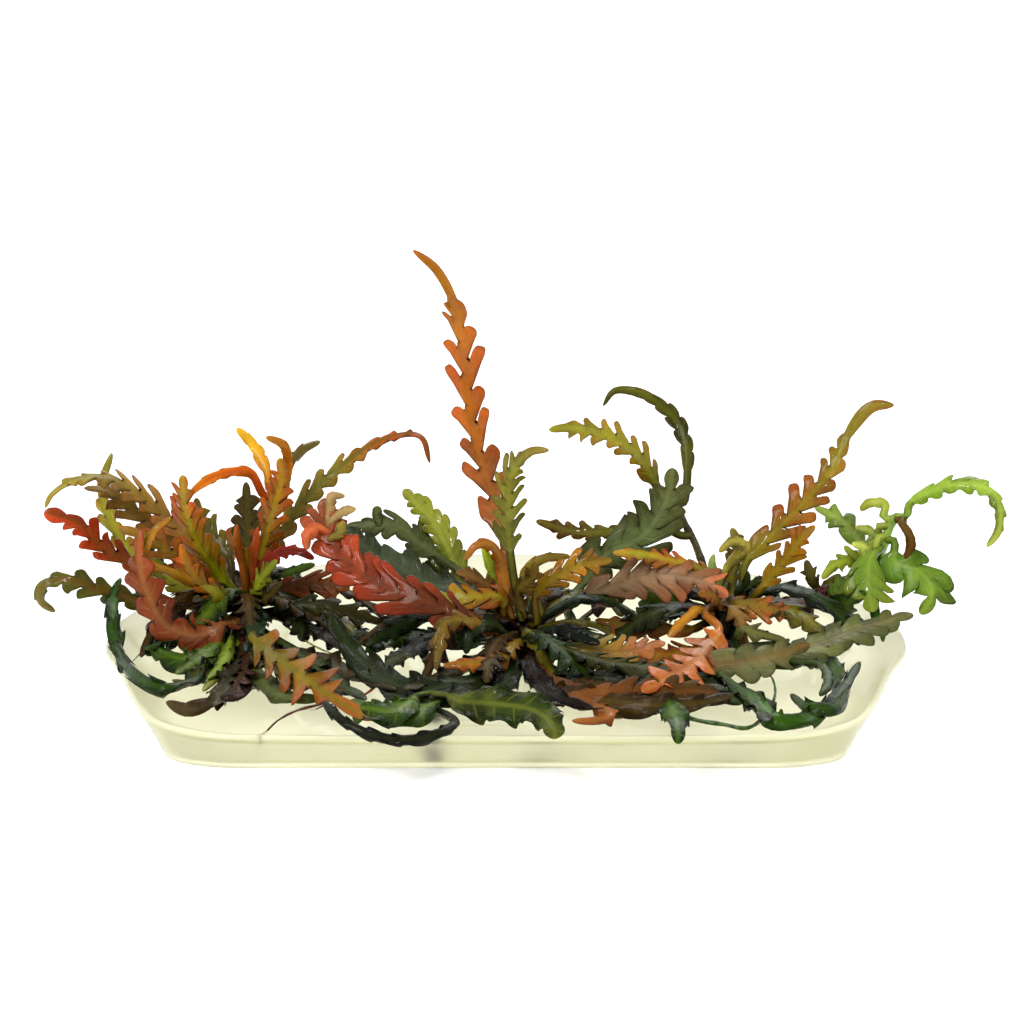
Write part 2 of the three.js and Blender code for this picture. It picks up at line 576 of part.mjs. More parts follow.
    path: [[35.9, 22.3, 2], [33.7, 24.6, 4.5], [30.9, 26.1, 7]],
  },
  green_broad: {
    from: ["green", 0.35, 250], half: 2.1, lobes: 3, cut: 0.4, stalk: 0.15, colour: "lime",
    path: [[36.4, 21, -3.5], [36.2, 18.8, -5], [36.4, 16.8, -6], [36.7, 15.6, -6.5]],
  },
  green_drooping: {
    from: ["green", 0.5, 320], half: 1.9, lobes: 4, cut: 0.5, stalk: 0.1, colour: "moss",
    path: [[38.9, 20.5, -3], [40.9, 19.8, -4], [42.4, 18.3, -5], [42.5, 16.8, -5.5], [41.4, 15.4, -5.5]],
  },
};

// Small leaves that are one with the stem they grow from.
const SMALL_LEAVES = [
  { from: ["left_branch", 0.9, 180], half: 0.6, lobes: 3,
    path: [[-25.6, 29.5, 1], [-28.4, 29.4, -0.5], [-30.8, 28.1, -2], [-31.6, 27.3, -2.5]] },
  { from: ["left_branch", 0.98, 150], half: 0.8, lobes: 3,
    path: [[-23.8, 29.3, 3], [-25.1, 32, 5], [-26.9, 34, 7]] },
  { from: ["left_branch", 0.94, 300], half: 0.5, lobes: 2,
    path: [[-21.8, 30.3, 1], [-22.3, 32.3, 0.5], [-24, 33.1, 0]] },
  { from: ["left_branch", 0.86, 30], half: 0.6, lobes: 2,
    path: [[-21.8, 30, 3.5], [-20.6, 31.6, 5.5], [-18.6, 32.7, 8]] },
  { from: ["rhizome", 0.6, 90], half: 0.9, lobes: 2, stalk: 0.1,
    path: [[30.6, 18.8, -1], [30, 20.8, -0.5]] },
  { from: ["green", 0.9, 150], half: 0.6, lobes: 2,
    path: [[37.9, 26.3, 0.5], [36.4, 26.5, 1], [35.4, 25.8, 1.5]] },
  { from: ["green", 0.3, 200], half: 0.9, lobes: 3, stalk: 0.1,
    path: [[34.6, 20.9, -1.5], [32.8, 20.2, -2.5], [31.6, 18.9, -3.5]] },
];

// Rings go from the foot to the rim. Each is drawn in from the outline where the edge is rounded.
function gelSolid() {
  const rim = outline(GEL_RIM, GEL_RIM_BACK);
  const foot = outline(GEL_FOOT, GEL_FOOT_BACK);
  const ring = (share, inset, height) =>
    foot.map((point, k) => {
      const drawn = point.clone().lerp(rim[k], share).multiplyScalar(1 - inset / GEL_RADIUS);
      return drawn.setZ(height);
    });
  const rings = [0, Math.PI / 4, Math.PI / 2].map((turn) =>
    ring(0, GEL_FOOT_ROUND * (1 - Math.sin(turn)), GEL_FOOT_ROUND * (1 - Math.cos(turn))),
  );
  rings.push(ring(1, 0, GEL_HEIGHT - GEL_RIM_ROUND), ring(1, GEL_RIM_ROUND, GEL_HEIGHT));
  const pockets = Object.values(STEMS)
    .filter((stem) => stem.pocket)
    .map(({ path, radius }) => {
      const [[x, y, z], ...above] = path;
      const curve = smoothCurve([[x, y, z - GAP], ...above].map((p) => new THREE.Vector3(...p)));
      return rod(curve, radius + POCKET_GAP, radius + POCKET_GAP, 3);
    });
  return pockets.reduce((gel, pocket) => gel.subtract(pocket), stacked(rings));
}

function stemSolid(name) {
  const { curve, radius } = STEMS[name];
  const roots = name === "rhizome" ? RHIZOME_ROOTS : [];
  const grown = [
    ...roots.map((path) =>
      rod(smoothCurve(path.map((p) => new THREE.Vector3(...p))), ROOT_RADIUS, ROOT_RADIUS, 4, 6),
    ),
    ...SMALL_LEAVES.filter(({ from }) => from[0] === name).map((leaf) =>
      leafSolid({ ...leaf, fused: true }),
    ),
  ];
  const sides = radius > 0.6 ? 8 : 6;
  const stem = grown.reduce((all, piece) => all.add(piece), rod(curve, radius, 0.8 * radius, 4, sides));
  return grown.length ? stem.asOriginal().simplify(SEAM_TOLERANCE) : stem;
}

// A named part of the clump from its solid.
function part(name, solid, colour, roughness) {
  const { vertProperties, triVerts } = solid.getMesh();
  const geometry = new THREE.BufferGeometry();
  geometry.setAttribute("position", new THREE.BufferAttribute(vertProperties, 3));
  geometry.setIndex(new THREE.BufferAttribute(triVerts, 1));
  geometry.computeVertexNormals();
  const material = new THREE.MeshStandardMaterial({ color: COLOURS[colour], roughness, metalness: 0 });
  const mesh = new THREE.Mesh(geometry, material);
  mesh.name = name;
  return mesh;
}

const clump = new THREE.Group();
clump.add(part("gel_pad", gelSolid(), "gel", 0.1));
for (const [name, { colour }] of Object.entries(STEMS))
  clump.add(part(name === "rhizome" ? name : `stem_${name}`, stemSolid(name), colour, 0.35));
for (const [name, leaf] of Object.entries(LEAVES))
  clump.add(part(`leaf_${name}`, leafSolid(leaf), leaf.colour, 0.3));

export default clump;
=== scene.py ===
"""A clump of Hygrophila pinnatifida on the round pad of clear nutrient gel that it was raised on.

Metres, +Z up, -Y is the front. Lengths are written in millimetres and multiplied by MM.
"""

import bpy
import numpy as np
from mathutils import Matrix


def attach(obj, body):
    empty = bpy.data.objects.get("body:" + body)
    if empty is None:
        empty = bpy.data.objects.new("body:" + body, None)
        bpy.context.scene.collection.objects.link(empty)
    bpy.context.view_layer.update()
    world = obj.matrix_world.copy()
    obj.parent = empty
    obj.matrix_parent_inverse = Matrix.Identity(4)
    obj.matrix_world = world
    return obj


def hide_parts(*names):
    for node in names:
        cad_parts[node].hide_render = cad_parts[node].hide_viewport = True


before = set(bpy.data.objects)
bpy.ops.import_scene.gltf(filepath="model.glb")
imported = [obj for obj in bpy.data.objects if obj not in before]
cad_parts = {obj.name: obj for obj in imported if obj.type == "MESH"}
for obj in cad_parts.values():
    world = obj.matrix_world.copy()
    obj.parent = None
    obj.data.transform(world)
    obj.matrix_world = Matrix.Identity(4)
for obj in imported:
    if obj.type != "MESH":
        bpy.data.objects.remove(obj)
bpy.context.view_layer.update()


# The camera stands in front of the pad and looks down on it a little, along the line that the
# leaves below are measured on. Its frame is 102.4 mm wide at the middle of the plant.
MM = 0.001
SIGHT_TILT = np.radians(11.5)
SIGHT_DISTANCE = 450
SIGHT_ACROSS = 0.6
SIGHT_UP = 25.6
BASE_UP = 8.69
FRAME_WIDTH = 102.4
SENSOR_WIDTH = 36

FORWARD = np.array([0, np.cos(SIGHT_TILT), -np.sin(SIGHT_TILT)])
UPWARD = np.array([0, np.sin(SIGHT_TILT), np.cos(SIGHT_TILT)])
EYE = np.array([SIGHT_ACROSS, 0, 0]) + (SIGHT_UP - BASE_UP) * UPWARD - SIGHT_DISTANCE * FORWARD

lens = bpy.data.cameras.new("camera")
lens.sensor_width = SENSOR_WIDTH
lens.lens = SENSOR_WIDTH * SIGHT_DISTANCE / FRAME_WIDTH
lens.clip_start = 0.01
lens.clip_end = 20
camera = bpy.data.objects.new("camera", lens)
camera.location = EYE * MM
camera.rotation_euler = (np.pi / 2 - SIGHT_TILT, 0, 0)
bpy.context.scene.collection.objects.link(camera)
bpy.context.scene.camera = camera


# The studio: a white floor that curves up into a white wall far behind, and soft light from
# large panels. The two small panels give the wet leaves their sharp glints.
FLOOR_HALF_WIDTH = 4.0
FLOOR_FRONT = -2.0
FLOOR_BACK = 1.6
WALL_TURN = 1.0
WALL_TOP = 4.0
FLOOR_COLUMNS = 5
WALL_STEPS = 16
FLOOR_GLOW = 0.46
AIR_LIGHT = 0.5

# Panels as (name, side, watts, place) in metres. Each one faces the plant.
PANELS = [
    ("key_panel", 0.3, 3.0, (-0.35, -0.4, 0.75)),
    ("fill_panel", 0.5, 0.6, (0.6, -0.5, 0.45)),
    ("back_panel", 0.4, 1.6, (0.15, 0.6, 0.6)),
    ("glint_panel", 0.04, 0.5, (0.12, -0.5, 0.5)),
    ("side_glint", 0.05, 0.4, (-0.45, -0.3, 0.4)),
]
AIM = np.array([0, 0, 0.02])


def add(tree, kind, inputs=None, **settings):
    """A shader node with its settings, its inputs either linked to a socket or given a value."""
    made = tree.nodes.new("ShaderNode" + kind)
    for setting, value in settings.items():
        setattr(made, setting, value)
    for name, value in (inputs or {}).items():
        if isinstance(value, bpy.types.NodeSocket):
            tree.links.new(value, made.inputs[name])
        else:
            made.inputs[name].default_value = value
    return made


def new_material(name):
    """An empty node material, its tree and its output node."""
    material = bpy.data.materials.new(name)
    material.use_nodes = True
    material.node_tree.nodes.clear()
    return material, material.node_tree, add(material.node_tree, "OutputMaterial")


def coat_with(tree, output, inputs):
    """Puts a principled shader with these inputs on the surface of a material."""
    shader = add(tree, "BsdfPrincipled", inputs)
    tree.links.new(shader.outputs[0], output.inputs["Surface"])


def mesh_object(name, points, faces):
    """A smooth object at the origin from points in metres and lists of their numbers."""
    mesh = bpy.data.meshes.new(name)
    mesh.from_pydata(points.tolist(), [], faces)
    mesh.polygons.foreach_set("use_smooth", [True] * len(mesh.polygons))
    made = bpy.data.objects.new(name, mesh)
    bpy.context.scene.collection.objects.link(made)
    return made


def grid_faces(rows, columns):
    """Quads between neighbours on an open grid whose points are numbered row by row."""
    first = np.arange(rows - 1)[:, None] * columns + np.arange(columns - 1)[None, :]
    return np.stack([first, first + 1, first + columns + 1, first + columns], -1).reshape(-1, 4)


# The floor is a profile of y and z carried across: flat, a quarter turn, then straight up.
turns = np.linspace(0, np.pi / 2, WALL_STEPS)
wall_y = FLOOR_BACK + WALL_TURN
floor_y = np.concatenate([[FLOOR_FRONT, 0.0], FLOOR_BACK + WALL_TURN * np.sin(turns), [wall_y]])
floor_z = np.concatenate([[0.0, 0.0], WALL_TURN * (1 - np.cos(turns)), [WALL_TOP]])
floor_x = np.linspace(-FLOOR_HALF_WIDTH, FLOOR_HALF_WIDTH, FLOOR_COLUMNS)
floor_grid = np.broadcast_arrays(floor_x[None, :], floor_y[:, None], floor_z[:, None])
floor_faces = grid_faces(len(floor_y), len(floor_x)).tolist()
studio_floor = mesh_object("studio_floor", np.stack(floor_grid, -1).reshape(-1, 3), floor_faces)
white, tree, output = new_material("studio_white")
floor_look = {
    "Base Color": (0.93, 0.935, 0.94, 1),
    "Roughness": 0.9,
    "Emission Color": (0.98, 0.985, 1, 1),
    "Emission Strength": FLOOR_GLOW,
}
coat_with(tree, output, floor_look)
studio_floor.data.materials.append(white)

world = bpy.data.worlds.new("studio_air")
world.use_nodes = True
world.node_tree.nodes["Background"].inputs["Color"].default_value = (1, 1, 1, 1)
world.node_tree.nodes["Background"].inputs["Strength"].default_value = AIR_LIGHT
bpy.context.scene.world = world
bpy.context.scene.view_settings.view_transform = "Standard"

for name, side, watts, place in PANELS:
    panel = bpy.data.lights.new(name, "AREA")
    panel.shape = "SQUARE"
    panel.size = side
    panel.energy = watts
    lamp = bpy.data.objects.new(name, panel)
    lamp.location = place
    away = np.array(place) - AIM
    tilt = np.arctan2(np.hypot(away[0], away[1]), away[2])
    lamp.rotation_euler = (tilt, 0, np.arctan2(away[0], -away[1]))
    bpy.context.scene.collection.objects.link(lamp)


# The gel pad: pale yellow nutrient gel cast in a tub with tapered walls, round behind and nearly
# straight along the front. Its edges are rounded, and its top is a little uneven and wrinkled.
# The outlines are (across, depth) in mm for the right half, from the front round to the back.
GEL_RIM = [
    (0, -40), (17, -40), (27, -38.8), (32, -34.5), (34.6, -27), (37.3, -14), (39.7, -3),
    (39, 9), (34.6, 20), (25, 31.2), (12.5, 38),
]
GEL_FOOT = [
    (0, -34.5), (17, -34.5), (27, -34.3), (31, -32), (32.8, -26), (34.8, -13.5), (36.5, -3),
    (35.9, 8), (31.8, 18.4), (23, 28.6), (11.5, 34.9),
]
GEL_RIM_BACK = 40
GEL_FOOT_BACK = 36.7
GEL_RADIUS = 40
GEL_HEIGHT = 4.5
GEL_FOOT_ROUND = 0.6
GEL_RIM_ROUND = 0.5
GEL_INNERMOST = 0.02

# Points round the pad, and rings over its underside, its rounded foot, its wall, its rounded rim
# and its top.
GEL_AROUND = 180
UNDER_RINGS = 10
FOOT_RINGS = 7
WALL_RINGS = 7
RIM_RINGS = 6
TOP_RINGS = 60

# The top has two crossed swells and a small ripple, each as radians for every mm across and back,
# and its start. Heights are in mm, and the ripple's is a share of the swells'.
TOP_WAVE = 0.05
TOP_SWELLS = [(0.31, 0.17, 1), (-0.12, 0.23, 0)]
TOP_RIPPLE = (0.7, -0.4, 0)
TOP_RIPPLE_SHARE = 0.5

# The wrinkled patch near the front edge: its height, middle and size in mm, and the radians for
# every mm of its folds and of their snaking.
TOP_WRINKLE = 0.1
WRINKLE_MIDDLE = (-1.5, -34)
WRINKLE_SIZE = (4, 2.2)
WRINKLE_FOLDS = 3.1
WRINKLE_SNAKES = 0.9
WRINKLE_SNAKE_REACH = 0.8

# How much of the gel's shadow is taken away, as light shines through it.
SHADOW_TAKEN = 0.9


def closed_skin(name, rings):
    """A closed surface from rings of points in mm, shape (rings, around, 3).

    Each ring is joined to the next, and the first and last are closed by fans to their mean
    points. Faces are turned outwards by the sign of the volume they enclose.
    """
    count, around, _ = rings.shape
    points = np.concatenate([rings.reshape(-1, 3), [rings[0].mean(0), rings[-1].mean(0)]])
    here = np.arange(around)
    after = (here + 1) % around
    start = np.arange(count - 1)[:, None] * around
    quads = np.stack([start + here, start + after, start + around + after, start + around + here], -1)
    quads = quads.reshape(-1, 4)
    last = (count - 1) * around
    middle = np.full(around, count * around)
    foot = np.stack([after, here, middle], -1)
    head = np.stack([last + here, last + after, middle + 1], -1)
    corners = np.concatenate([quads[:, [0, 1, 2]], quads[:, [0, 2, 3]], foot, head])
    a, b, c = (points[corners[:, k]] for k in range(3))
    if np.einsum("ij,ij->i", a, np.cross(b, c)).sum() < 0:
        quads, foot, head = quads[:, ::-1], foot[:, ::-1], head[:, ::-1]
    return mesh_object(name, points * MM, quads.tolist() + foot.tolist() + head.tolist())


def smooth_path(points, samples=60):
    """A fine polyline along the centripetal Catmull-Rom curve through the points, and its length.

    Each knot interval is the square root of its chord. The tangent at a point is the difference
    of the neighbouring slopes weighed by these intervals, and each stretch is a cubic between two
    points and their tangents. The ends are carried on straight.
    """
    p = np.asarray(points, float)
    p = np.concatenate([[2 * p[0] - p[1]], p, [2 * p[-1] - p[-2]]])
    chord = np.sqrt(np.linalg.norm(np.diff(p, axis=0), axis=1))[:, None]
    p0, p1, p2, p3 = p[:-3], p[1:-2], p[2:-1], p[3:]
    d0, d1, d2 = chord[:-2], chord[1:-1], chord[2:]
    leave = d1 * ((p1 - p0) / d0 - (p2 - p0) / (d0 + d1) + (p2 - p1) / d1)
    arrive = d1 * ((p2 - p1) / d1 - (p3 - p1) / (d1 + d2) + (p3 - p2) / d2)
    u = np.linspace(0, 1, samples, endpoint=False)[None, :, None]
    p1, p2, leave, arrive = (a[:, None, :] for a in (p1, p2, leave, arrive))
    line = (
        (2 * u**3 - 3 * u**2 + 1) * p1
        + (u**3 - 2 * u**2 + u) * leave
        + (3 * u**2 - 2 * u**3) * p2
        + (u**3 - u**2) * arrive
    ).reshape(-1, p1.shape[-1])
    line = np.concatenate([line, p[-2:-1]])
    along = np.concatenate([[0], np.cumsum(np.linalg.norm(np.diff(line, axis=0), axis=1))])
    return line, along


def at_length(table, along, where):
    """The rows of a table, one for each length in along, read off at the lengths in where."""
    return np.stack([np.interp(where, along, table[:, k]) for k in range(table.shape[1])], -1)


def whole_outline(right_half, back, samples=40):
    """A fine closed curve through the right half of an outline, its back and its mirror image."""
    right = np.array(right_half, float)
    loop = np.concatenate([right, [[0, back]], (right[1:] * [-1, 1])[::-1]])
    wrapped = np.concatenate([loop[-3:], loop, loop[:4]])
    return smooth_path(wrapped, samples)[0][3 * samples : (3 + len(loop)) * samples + 1]


def wave_over(x, y, across, back, start):
    """A wave at places in mm, by its radians for every mm across and back, and its start."""
    return np.sin(across * x + back * y + start)


def ring_band(share, scale, height):
    """Rings by their share of the way from foot to rim, how far they are drawn in, and height."""
    return np.stack(np.broadcast_arrays(share, scale, height), -1)


rim, foot = whole_outline(GEL_RIM, GEL_RIM_BACK), whole_outline(GEL_FOOT, GEL_FOOT_BACK)
rim_along = np.concatenate([[0], np.cumsum(np.linalg.norm(np.diff(rim, axis=0), axis=1))])
even = np.linspace(0, rim_along[-1], GEL_AROUND, endpoint=False)
foot = at_length(foot, rim_along, even)
rim = at_length(rim, rim_along, even)

foot_turn = np.linspace(0, np.pi / 2, FOOT_RINGS)
rim_turn = np.linspace(0, np.pi / 2, RIM_RINGS)
inner = np.linspace(GEL_INNERMOST, 1, UNDER_RINGS, endpoint=False)
wall = np.linspace(0, 1, WALL_RINGS)[1:-1]
wall_top = GEL_HEIGHT - GEL_RIM_ROUND
top_scale = np.linspace(1, GEL_INNERMOST, TOP_RINGS)[1:]
foot_edge = 1 - GEL_FOOT_ROUND * (1 - np.sin(foot_turn)) / GEL_RADIUS
rim_edge = 1 - GEL_RIM_ROUND * (1 - np.cos(rim_turn)) / GEL_RADIUS
bands = [
    ring_band(0, inner * foot_edge[0], 0),
    ring_band(0, foot_edge, GEL_FOOT_ROUND * (1 - np.cos(foot_turn))),
    ring_band(wall, 1, GEL_FOOT_ROUND + (wall_top - GEL_FOOT_ROUND) * wall),
    ring_band(1, rim_edge, GEL_HEIGHT - GEL_RIM_ROUND * (1 - np.sin(rim_turn))),
    ring_band(1, top_scale * rim_edge[-1], GEL_HEIGHT),
]
share, scale, height = np.concatenate(bands).T[:, :, None]
x, y = np.moveaxis((foot * (1 - share)[..., None] + rim * share[..., None]) * scale[..., None], -1, 0)

swells = wave_over(x, y, *TOP_SWELLS[0]) * wave_over(x, y, *TOP_SWELLS[1])
waves = swells + TOP_RIPPLE_SHARE * wave_over(x, y, *TOP_RIPPLE)
aside = (x - WRINKLE_MIDDLE[0]) / WRINKLE_SIZE[0]
behind = (y - WRINKLE_MIDDLE[1]) / WRINKLE_SIZE[1]
folds = np.sin(WRINKLE_FOLDS * y + WRINKLE_SNAKE_REACH * np.sin(WRINKLE_SNAKES * x))
wrinkle = np.exp(-(aside**2) - behind**2) * folds
z = height + (height >= GEL_HEIGHT) * (TOP_WAVE * (waves - 1) + TOP_WRINKLE * wrinkle)
gel_pad = closed_skin("gel_disc", np.stack([x, y, z], -1))

gel, tree, output = new_material("nutrient_gel")
cloud = add(tree, "TexNoise", {"Scale": 45.0, "Detail": 2.0, "Roughness": 0.5})
tree.links.new(add(tree, "TexCoord").outputs["Object"], cloud.inputs["Vector"])
bump = add(tree, "Bump", {"Strength": 0.12, "Distance": 0.001, "Height": cloud.outputs["Fac"]})
shadow_ray = add(tree, "LightPath").outputs["Is Shadow Ray"]
see_through = add(tree, "Math", {0: shadow_ray, 1: -SHADOW_TAKEN, 2: 1.0}, operation="MULTIPLY_ADD")
gel_look = {
    "Base Color": (0.6, 0.585, 0.42, 1),
    "Roughness": 0.5,
    "IOR": 1.33,
    "Transmission Weight": 1.0,
    "Coat Weight": 0.35,
    "Coat Roughness": 0.05,
    "Alpha": see_through.outputs[0],
    "Normal": bump.outputs[0],
}
coat_with(tree, output, gel_look)
tint = add(tree, "VolumeAbsorption", {"Color": (0.69, 0.69, 0.125, 1), "Density": 16.0})
tree.links.new(tint.outputs[0], output.inputs["Volume"])
gel_pad.data.materials.append(gel)
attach(gel_pad, "root")
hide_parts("gel_pad")


# The stems: short, thick and nearly black, rising out of the gel, each with a thinner side shoot
# or a runner. Old leaf scars ring them, and they thin and swell a little along their length.
# Each has its path in mm, its radius, colour and slot, and how far apart its leaf scars are.
STEMS = {
    "left": dict(
        path=[(-26, 0, 0.7), (-26.2, 0, 5), (-26, 0.4, 9.2)],
        radius=1.15, colour="1c1410", slot="stem", scars=2.6,
    ),
    "left_branch": dict(
        path=[(-25.4, 1.2, 9.9), (-24.4, 1.6, 13.6), (-23.6, 1.8, 16.6), (-22.7, 2, 19.4)],
        radius=0.4, colour="6a3c22", slot="umber", scars=3,
    ),
    "centre": dict(
        path=[(3.6, -14.9, 0.9), (3.2, -14.6, 3), (1.9, -13.4, 6), (1.5, -11.4, 9.6)],
        radius=1.2, colour="2a1a18", slot="stem", scars=3,
    ),
    "right": dict(
        path=[(22.6, -6.6, 0.7), (21.9, -6.2, 5), (21.4, -5.6, 9.8)],
        radius=1.2, colour="1a120e", slot="stem", scars=2.6,
    ),
    "right_branch": dict(
        path=[(20, -4.4, 10.6), (18.9, -3.4, 14.2), (17.6, -2.4, 16.7), (16.7, -1.8, 18.6)],
        radius=0.4, colour="4a4220", slot="olive", scars=3,
    ),
    "front": dict(
        path=[(-6.6, -29.6, 0.7), (-6.8, -30.4, 3.5), (-7, -31.4, 6.6)],
        radius=0.8, colour="38241a", slot="stem", scars=2,
    ),
    "rhizome": dict(
        path=[(23.6, -3.6, 8.6), (27, -2.4, 8.4), (31.2, -1.6, 9.4), (36, -1, 11.2)],
        radius=0.65, colour="4a1512", slot="rhizome", scars=5,
    ),
    "green": dict(
        path=[(36.9, -0.9, 11.9), (37.4, -0.8, 14), (38.6, -0.7, 17.2)],
        radius=0.5, colour="7a9838", slot="lime", scars=2.4,
    ),
}
STEM_THINS = 0.2
SCAR_SWELL = 0.14
SCAR_WIDTH = 0.3
STEM_END = 0.8
END_CLOSES_TO = 0.02
FEWEST_RINGS = 6
UPRIGHT_GUIDE = np.array([0.15, 1, 0.1])
LEVEL_GUIDE = np.array([0.1, 0.15, 1])

# Lumps of a stem as (height, waves round it, turn of the waves for each mm along it).
STEM_LUMPS = [(0.05, 3, 2.1), (0.04, 5, -1.3)]

# The bark's pattern: streaks stretched along the stem that darken and lighten it, and pale specks.
# Each range is of the noise that makes it, or of what that is turned into.
STREAK_STRETCH = (1, 1, 0.35)
STREAK_RANGE = (0.35, 0.65)
STREAK_SHADES = (0.45, 1.5)
SPECK_SCALE = 2600.0
SPECK_RANGE = (0.62, 0.72)
SPECK_SHOWS = 0.3
SPECK_COLOUR = (0.35, 0.22, 0.14, 1)
ROUGH_RANGE = (0.3, 0.7)
BARK_ROUGHNESS = (0.22, 0.5)
SKIN_OUTPUTS = {"Colour": "Color", "Roughness": "Float", "Height": "Float"}


def hex_colour(code):
    """Linear red, green and blue of a colour written as six hex digits."""
    value = np.array([int(code[i : i + 2], 16) for i in (0, 2, 4)]) / 255
    return np.where(value <= 0.04045, value / 12.92, ((value + 0.055) / 1.055) ** 2.4)


def unit(vectors):
    """Vectors brought to length one."""
    return vectors / np.linalg.norm(vectors, axis=-1, keepdims=True)


def tube_rings(path, radius, around, step):
    """Rings round a path: radius is a function of length along it and of the turn round it.

    The ring's plane is square to the path, and its first direction is kept from turning by
    taking it square to one fixed vector.
    """
    line, along = smooth_path(path)
    where = np.linspace(0, along[-1], max(int(along[-1] / step), FEWEST_RINGS))
    centre = at_length(line, along, where)
    tangent = unit(np.gradient(centre, axis=0))
    upright = abs(tangent[:, 2]).mean() > 0.5
    side = unit(np.cross(tangent, UPRIGHT_GUIDE if upright else LEVEL_GUIDE))
    other = np.cross(tangent, side)
    turn = np.linspace(0, 2 * np.pi, around, endpoint=False)
    r = radius(where[:, None], turn[None, :])[..., None]
    spoke = np.cos(turn)[None, :, None] * side[:, None] + np.sin(turn)[None, :, None] * other[:, None]
    return centre[:, None] + r * spoke


def stem_radius(radius, scars, length):
    """Radius along a stem: it thins to four fifths, swells at each scar and rounds off at its ends.

    A swelling is a bell round each scar, and waves that wind round the stem make it lumpy.
    """

    def shape(along, turn):
        from_scar = ((along / scars + 0.5) % 1 - 0.5) * scars
        ring = np.exp(-((from_scar / SCAR_WIDTH) ** 2))
        lump = sum(high * np.sin(waves * turn + wind * along) for high, waves, wind in STEM_LUMPS)
        end = np.clip(np.minimum(along, length - along) / (STEM_END * radius), END_CLOSES_TO, 1)
        thinned = radius * (1 - STEM_THINS * along / length)
        return thinned * (1 + SCAR_SWELL * ring + lump) * np.sqrt(end * (2 - end))

    return shape


def pattern_group(name, inputs, outputs):
    """An empty shader group with named sockets, and the values that are given to it."""
    group = bpy.data.node_groups.new(name, "ShaderNodeTree")
    for way, sockets in (("INPUT", inputs), ("OUTPUT", outputs)):
        for socket, kind in sockets.items():
            group.interface.new_socket(socket, in_out=way, socket_type=f"NodeSocket{kind}")
    return group, group.nodes.new("NodeGroupInput").outputs


def give_out(group, results):
    """Links each result to the group's output of that name."""
    end = group.nodes.new("NodeGroupOutput")
    for name, value in results.items():
        group.links.new(value, end.inputs[name])


def noise(tree, place, scale, detail):
    """Cloudy noise at a place, from 0 to 1."""
    return add(tree, "TexNoise", {"Vector": place, "Scale": scale, "Detail": detail}).outputs["Fac"]


def ranged(tree, value, low, high, to_low=0.0, to_high=1.0, ease="LINEAR"):
    """A value carried over from the range low to high to another range, and held within it."""
    inputs = {"Value": value, "From Min": low, "From Max": high, "To Min": to_low, "To Max": to_high}
    return add(tree, "MapRange", inputs, interpolation_type=ease).outputs[0]


def scaled(tree, colour, factor):
    """A colour made lighter or darker by a factor."""
    return add(tree, "VectorMath", {0: colour, "Scale": factor}, operation="SCALE").outputs[0]


def mixed(tree, factor, a, b):
    """A colour that goes from a to b as the factor goes from 0 to 1."""
    return add(tree, "Mix", {"Factor": factor, 6: a, 7: b}, data_type="RGBA").outputs[2]


def bark_pattern():
    """Shader group for stems and roots: streaks along them, and pale specks."""
    group, given = pattern_group("bark_pattern", {"Colour": "Color", "Grain": "Float"}, SKIN_OUTPUTS)
    place = add(group, "TexCoord").outputs["Object"]
    stretched = add(group, "Mapping", {"Vector": place, "Scale": STREAK_STRETCH}).outputs[0]
    streak = noise(group, stretched, given["Grain"], detail=4.0)
    speck = noise(group, place, SPECK_SCALE, detail=2.0)
    shaded = scaled(group, given["Colour"], ranged(group, streak, *STREAK_RANGE, *STREAK_SHADES))
    speckled = ranged(group, speck, *SPECK_RANGE, to_high=SPECK_SHOWS)
    colour = mixed(group, speckled, shaded, SPECK_COLOUR)
    rough = ranged(group, speck, *ROUGH_RANGE, *BARK_ROUGHNESS)
    give_out(group, {"Colour": colour, "Roughness": rough, "Height": streak})
    return group


bark = bark_pattern()


def bark_finish(name, colour, grain, coat):
    """Wet skin of a stem or root in its own colour."""
    material, tree, output = new_material(name)
    given = {"Colour": (*hex_colour(colour), 1), "Grain": grain}
    pattern = add(tree, "Group", given, node_tree=bark)
    bump = add(tree, "Bump", {"Strength": 0.5, "Distance": 0.0003, "Height": pattern.outputs["Height"]})
    bark_look = {
        "Base Color": pattern.outputs["Colour"],
        "Roughness": pattern.outputs["Roughness"],
        "Normal": bump.outputs[0],
        "IOR": 1.4,
        "Specular IOR Level": 0.3,
        "Coat Weight": coat,
        "Coat Roughness": 0.07,
    }
    coat_with(tree, output, bark_look)
    return material


for name, stem in STEMS.items():
    stem["line"], stem["along"] = smooth_path(stem["path"])
    profile = stem_radius(stem["radius"], stem["scars"], stem["along"][-1])
    piece = closed_skin(f"shoot_{name}", tube_rings(stem["path"], profile, around=28, step=0.12))
    piece.data.materials.append(bark_finish(f"{name}_bark", stem["colour"], grain=700.0, coat=0.3))
    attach(piece, "root")
    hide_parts(name if name == "rhizome" else f"stem_{name}")


